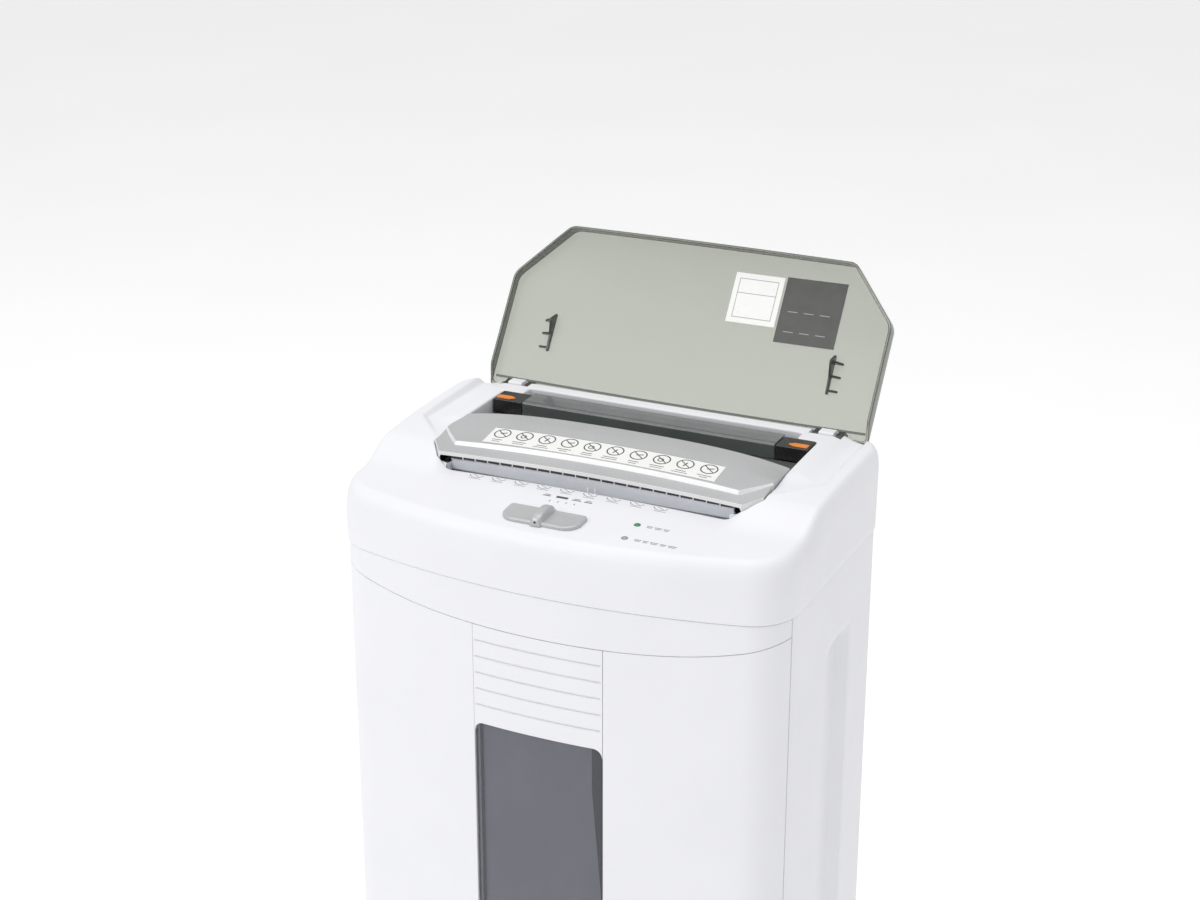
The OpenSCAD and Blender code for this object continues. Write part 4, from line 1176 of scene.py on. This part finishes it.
def hopper_parts():
    bm = bmesh.new()
    section = [(184, 52.2), (184, 62.6), (185.4, 64), (206, 64), (206, 62.3), (186, 62.1), (185.8, 52.2)]
    add_prism(bm, [(y, SEAM + z) for y, z in section], "x", -COVER_HALF, COVER_HALF, 0.5)
    add_box(bm, (-126.4, 150.3, SEAM + 50.4), (126.4, 184.0, SEAM + 52.1), 0.4)
    # Upward faces high on the cover take the lighter smoke: painted light on its top.
    for face in bm.faces:
        face.material_index = int(face.normal.z > 0.5 and face.calc_center_median().z > SEAM + 60)
    piece_from(bm, "cover_skin", "root", "cover_smoke", ("cover_smoke", "cover_top_painted_light"),
               replaced=["inner_cover"])

    bm = bmesh.new()
    half = COVER_HALF - 0.2
    add_box(bm, (-half, 185.6, SEAM + 63.95), (half, 186.1, SEAM + 64.08), 0.04, 1)
    add_box(bm, (-half, 187.4, SEAM + 63.95), (half, 187.8, SEAM + 64.06), 0.04, 1)
    piece_from(bm, "cover_edge_lines", "root", "guide_dark")

    bm = bmesh.new()
    for side in (-1, 1):
        outline = [(side * 102.6, 186.6), (side * 102.6, 205), (side * 88, 205), (side * 80, 202.5),
                   (side * 75.5, 196.5), (side * 74, 188.6), (side * 74, 186.6)]
        add_prism(bm, outline, "z", SEAM + 58, SEAM + 61.6, 0.5)
        x0, x1 = across(side, 96.6, COVER_HALF - 0.2)
        add_box(bm, (x0, 186.2, SEAM + 52.6), (x1, 187.6, SEAM + 57.9), 0.3, 2)
    piece_from(bm, "cover_end_pads", "root", "guide_dark")

    bm = bmesh.new()
    for side in (-1, 1):
        x0, x1 = across(side, BLOCK_INNER, 127.4)
        add_box(bm, (x0, 184.3, SEAM + 52.4), (x1, 203.4, SEAM + 63.2), 0.7)
        x0, x1 = across(side, BLOCK_INNER, 110.8)
        add_box(bm, (x0, 195, SEAM + 40), (x1, 203.3, SEAM + 53), 0.5)
    piece_from(bm, "block_skin", "root", "black_plastic", replaced=["end_blocks"])

    bm = bmesh.new()
    corners = [(126, 187.0), (126, 193.4), (115.2, 193.4), (110.6, 190.2), (115.2, 187.0)]
    arrow = rounded(corners, 0.5, 3)
    for side in (-1, 1):
        add_prism(bm, [(side * x, y) for x, y in arrow], "z", SEAM + 63.0, SEAM + 63.7, 0.18, 2)
    piece_from(bm, "arrow_skin", "root", "orange_mark", replaced=["feed_arrows"])


# ---- Lid ----


def in_lid(bm):
    """Moves a drawing from the lid's own plane to its open place."""
    bm.transform(Matrix.Translation((0, HINGE_Y, HINGE_Z)) @ Matrix.Rotation(LID_LEAN, 4, "X"))


LID_MIDDLE = 68.0          # Y of the point that the lid's surface is drawn round
LID_CROWN = 5.0
LID_BACK = 0.5
LID_TAPER = 91.5           # Y where the sides turn in
LID_FRONT_HALF = 118.0
LID_FRONT_CORNER = LID_LEN - 1.5


def lid_depth_in(x, y, soft):
    """How far inside the lid's outline a point is, with its corners rounded by soft."""
    ax = np.abs(x)
    corner = np.array([LID_FRONT_HALF, LID_FRONT_CORNER])
    edge = corner - [LID_HALF, LID_TAPER]
    inward = np.array([-edge[1], edge[0]]) / np.hypot(*edge)
    bow = LID_FRONT_HALF**2 / 3.0
    sides = [LID_HALF - ax, y - LID_BACK, (ax - corner[0]) * inward[0] + (y - corner[1]) * inward[1],
             bow - np.hypot(x, y - (LID_LEN - bow))]
    short = sum(np.maximum(soft - d, 0) ** 2 for d in sides)
    return np.where(short > 0, soft - np.sqrt(short), np.minimum.reduce(sides))


def lid_ring(angles, inset, corner=3.0):
    """The outline drawn in by inset, as points along rays from the lid's middle."""
    near, far = np.full(angles.shape, 5.0), np.full(angles.shape, 220.0)
    for _ in range(36):
        mid = (near + far) / 2
        x, y = mid * np.cos(angles), LID_MIDDLE + mid * np.sin(angles)
        inside = lid_depth_in(x, y, inset + corner) > inset
        near, far = np.where(inside, mid, near), np.where(inside, far, mid)
    return near * np.cos(angles), LID_MIDDLE + near * np.sin(angles)


def lid_floor(x):
    """Inner face of the lid, which is crowned across its width."""
    return -8.5 - LID_CROWN * (1 - (np.asarray(x, float) / LID_HALF) ** 2)


def lid():
    turns = np.linspace(0, 2 * math.pi, 360, endpoint=False)
    corners = [math.atan2(y - LID_MIDDLE, x) for x, y in (
        (LID_HALF, LID_BACK), (LID_HALF, LID_TAPER), (LID_FRONT_HALF, LID_FRONT_CORNER))]
    near_corner = [c + d for c in corners for d in np.linspace(-0.035, 0.035, 15)]
    near_corner = np.array(near_corner)
    more = np.mod(np.concatenate([near_corner, math.pi - near_corner]), 2 * math.pi)
    turns = np.unique(np.round(np.concatenate([turns, more]), 5))
    edge_x, edge_y = lid_ring(turns, 0.0)
    hinge_side = 1 - smoothstep(1.0, 18, edge_y)
    over_plate = smoothstep(104, 133, edge_y) * np.clip(1 - (edge_x / 131) ** 2, 0, 1)
    rim_top = -8.1 * hinge_side - 3.0 * over_plate
    wall, fillet = 2.2, 2.2 + 2.5 * hinge_side
    rows = []

    def ring(inset, height):
        x, y = lid_ring(turns, inset + 0 * turns)
        rows.append(np.column_stack([x, y, height(x) if callable(height) else height + 0 * x]))

    def shrunk(x, y, share, drop):
        z = lid_floor(x * share) - drop
        rows.append(np.column_stack([x * share, LID_MIDDLE + (y - LID_MIDDLE) * share, z]))

    shares = (0.03, 0.2, 0.4, 0.6, 0.8, 0.92)
    for share in shares:
        shrunk(*lid_ring(turns, 1.4 + 0 * turns), share, 2.5)
    ring(1.4, lambda x: lid_floor(x) - 2.5)
    ring(0.4, lambda x: lid_floor(x) - 2.1)
    ring(0.0, lambda x: lid_floor(x) - 1.1)
    ring(0.0, lambda x: (lid_floor(x) - 1.1) * 0.5 + (rim_top - 0.5) * 0.5)
    ring(0.0, rim_top - 0.5)
    ring(0.15, rim_top - 0.15)
    ring(0.5, rim_top)
    ring(wall - 0.5, rim_top)
    ring(wall - 0.12, rim_top - 0.15)
    ring(wall, rim_top - 0.5)
    for turn in np.linspace(0, math.pi / 2, 8):
        inset = wall + fillet * (1 - math.cos(turn))

        def height(x, turn=turn):
            start = np.minimum(rim_top - 0.8, lid_floor(x) + fillet)
            return lid_floor(x) + (start - lid_floor(x)) * (1 - math.sin(turn))

        ring(inset, height)
    x, y = rows[-1][:, 0], rows[-1][:, 1]
    for share in reversed(shares):
        shrunk(x, y, share, 0.0)
    bm = bmesh.new()
    verts, faces = add_grid(bm, np.array(rows), wrap_cols=True)
    first = len(shares)
    # The wall and rim faces take the darker smoke: painted shade for the edge seen through the plastic's
    # thickness.
    for i, face in enumerate(faces):
        row = i // len(turns) - first
        face.material_index = 2 if row == 6 else 1 if 1 <= row <= 8 else 0
    faces.append(bm.faces.new(verts[0]))
    faces.append(bm.faces.new(verts[-1]))
    bmesh.ops.recalc_face_normals(bm, faces=faces)
    in_lid(bm)
    piece_from(bm, "lid_skin", "lid", "lid_smoke", ("lid_smoke", "lid_smoke_painted_shade", "lid_rim_painted_shade"), replaced=["lid"],
               sharp=50)

    bm = bmesh.new()
    for side in (-1, 1):
        for x in (116.5, 134.5):
            knuckle = arc_points((0, 0), 2.8, math.radians(20), math.radians(220), 16)
            outline = knuckle + [(-1.2, -10.9), (6.4, -10.9), (6.4, -3.0)]
            add_prism(bm, outline, "x", *across(side, x, x + 5), 0.4)
    add_box(bm, (-LID_HALF + 2.4, 0.4, -8.9), (LID_HALF - 2.4, 1.5, -7.9), 0.2, 2)
    # A dark strip across the inner face near the lower edge: painted shadow of the gap between the head's rear
    # edge and the lid.
    add_on_lid(bm, -LID_HALF + 3.5, LID_HALF - 3.5, 7.4, 9.2, 0.05, 0.5, 40)
    in_lid(bm)
    # The knuckles and strips are all in the darker smoke, painted shade.
    piece_from(bm, "lid_knuckles", "lid", "lid_smoke", ("lid_smoke_painted_shade",))


def lid_guides():
    profile = [(34, 0), (34, 2.2), (47, 4.2), (57, 9), (59, 9), (66, 0)]
    bm = bmesh.new()
    for side in (-1, 1):
        add_prism(bm, rounded(profile, 1.0, 3), "x", *across(side, 115, 117), 0.35, 2)
        for y, tall in ((37, 2.6), (48, 4.6), (58.6, 8)):
            near, far = side * 116.6, side * 123.9
            fin = rounded([(near, 0), (far, 0), (far, 1.6), (near, tall)], 0.5, 3)
            add_prism(bm, fin, "y", y - 0.8, y + 0.8, 0.25, 2)
    bm.transform(Matrix.Translation((0, 0, float(lid_floor(116)) - 0.1)))
    in_lid(bm)
    # The guides are in the darker smoke: painted shade for their thickness.
    piece_from(bm, "guide_skin", "lid", "lid_smoke", ("lid_smoke_painted_shade",), replaced=["lid_guides"])


def add_on_lid(bm, x0, x1, y0, y1, lift, thick, columns=10):
    """A thin rectangle laid on the lid's crowned inner face."""
    xs = np.linspace(x0, x1, columns)
    top = np.array([[(x, y, float(lid_floor(x)) + lift + thick) for x in xs] for y in (y0, y1)])
    add_slab(bm, top, top - [0, 0, thick])


def lid_labels():
    bm = bmesh.new()
    add_on_lid(bm, 64, 113, 69, 121, 0.03, 0.2, 16)
    in_lid(bm)
    piece_from(bm, "sticker_dark", "lid", "label_dark", replaced=["lid_labels"])

    bm = bmesh.new()
    add_on_lid(bm, 22, 62, 80, 120, 0.03, 0.2, 16)
    in_lid(bm)
    piece_from(bm, "sticker_pale", "lid", "label_white")

    bm = bmesh.new()
    for y in (84.5, 104, 115.5):
        add_on_lid(bm, 26, 58, y - 0.25, y + 0.25, 0.24, 0.05)
    for x in (26, 57.5):
        add_on_lid(bm, x, x + 0.5, 84.5, 115.5, 0.24, 0.05, 2)
    for i in range(6):
        x, y = 70 + 13 * (i % 3), 78 + 16 * (i // 3)
        add_on_lid(bm, x, x + 8, y - 0.35, y + 0.35, 0.24, 0.05, 4)
    in_lid(bm)
    piece_from(bm, "sticker_lines", "lid", "grey_lens", ("print_pale",), weighted=False)


def hinge_brackets():
    bm = bmesh.new()
    for side in (-1, 1):
        post = [
            (HINGE_Y - 5.5, SEAM + 49.3), (HINGE_Y + 4.2, SEAM + 49.3), (HINGE_Y + 5.0, HINGE_Z + 3.0),
            (HINGE_Y + 3.4, HINGE_Z + 5.2), (HINGE_Y - 4.4, HINGE_Z + 5.4), (HINGE_Y - 5.5, HINGE_Z + 4.0)]
        add_prism(bm, post, "x", *across(side, 122.2, 133.8), 0.5)
    piece_from(bm, "bracket_skin", "root", "casing_white", replaced=["hinge_brackets"])


# ---- Room ----


AMBIENT = 0.62
KEY = 24.0
OVERHEAD = 19.0
AIM = Vector((0, 0, 0.45))


def room():
    mesh = bpy.data.meshes.new("floor")
    half = 10.0
    corners = [(-half, -half, 0), (half, -half, 0), (half, half, 0), (-half, half, 0)]
    mesh.from_pydata(corners, [], [(0, 1, 2, 3)])
    glow = dict(Emission_Color=(1, 1, 1, 1), Emission_Strength=0.22)
    pale = Shader("floor_pale", (0.98, 0.98, 0.985), 0.7, **glow)
    mesh.materials.append(pale.tint(0.01, 400).rough(200, 0.03).material)
    link(bpy.data.objects.new("floor", mesh))

    world = bpy.data.worlds.new("studio")
    bpy.context.scene.world = world
    world.use_nodes = True
    background = world.node_tree.nodes["Background"]
    background.inputs["Color"].default_value = (1, 1, 1, 1)
    background.inputs["Strength"].default_value = AMBIENT
    softbox("key", (-1.5, -2.1, 2.3), 1.6, KEY)
    softbox("overhead", (0.1, -0.1, 2.6), 1.8, OVERHEAD)


def softbox(name, place, size, power):
    light = bpy.data.lights.new(name, "AREA")
    light.shape = "SQUARE"
    light.size = size
    light.energy = power
    lamp = link(bpy.data.objects.new(name, light))
    lamp.location = place
    lamp.rotation_euler = (AIM - Vector(place)).to_track_quat("-Z", "Y").to_euler()


def camera():
    data = bpy.data.cameras.new("camera")
    data.lens = 68.06
    data.sensor_width = 36.0
    data.clip_start, data.clip_end = 0.05, 50
    view = link(bpy.data.objects.new("camera", data))
    view.location = (0.637, FRONT * MM - 1.2522, 1.164)
    view.rotation_euler = (math.radians(90 - 21.60), 0, math.radians(25.14))
    bpy.context.scene.camera = view


paint_cad_nodes()
drawer_band()
drawer_panel()
column_panel()
window_pane()
cabinet_shell()
head_casing()
silver_plate()
symbol_label()
hand_slot()
mode_slider()
indicator("ready_lens", READY_Y, "ready_light", "green_lens")
indicator("alert_lens", ALERT_Y, "alert_light", "grey_lens")
fascia_marks()
hopper_parts()
lid()
lid_guides()
lid_labels()
hinge_brackets()
room()
camera()
bpy.context.scene.view_settings.view_transform = "Standard"
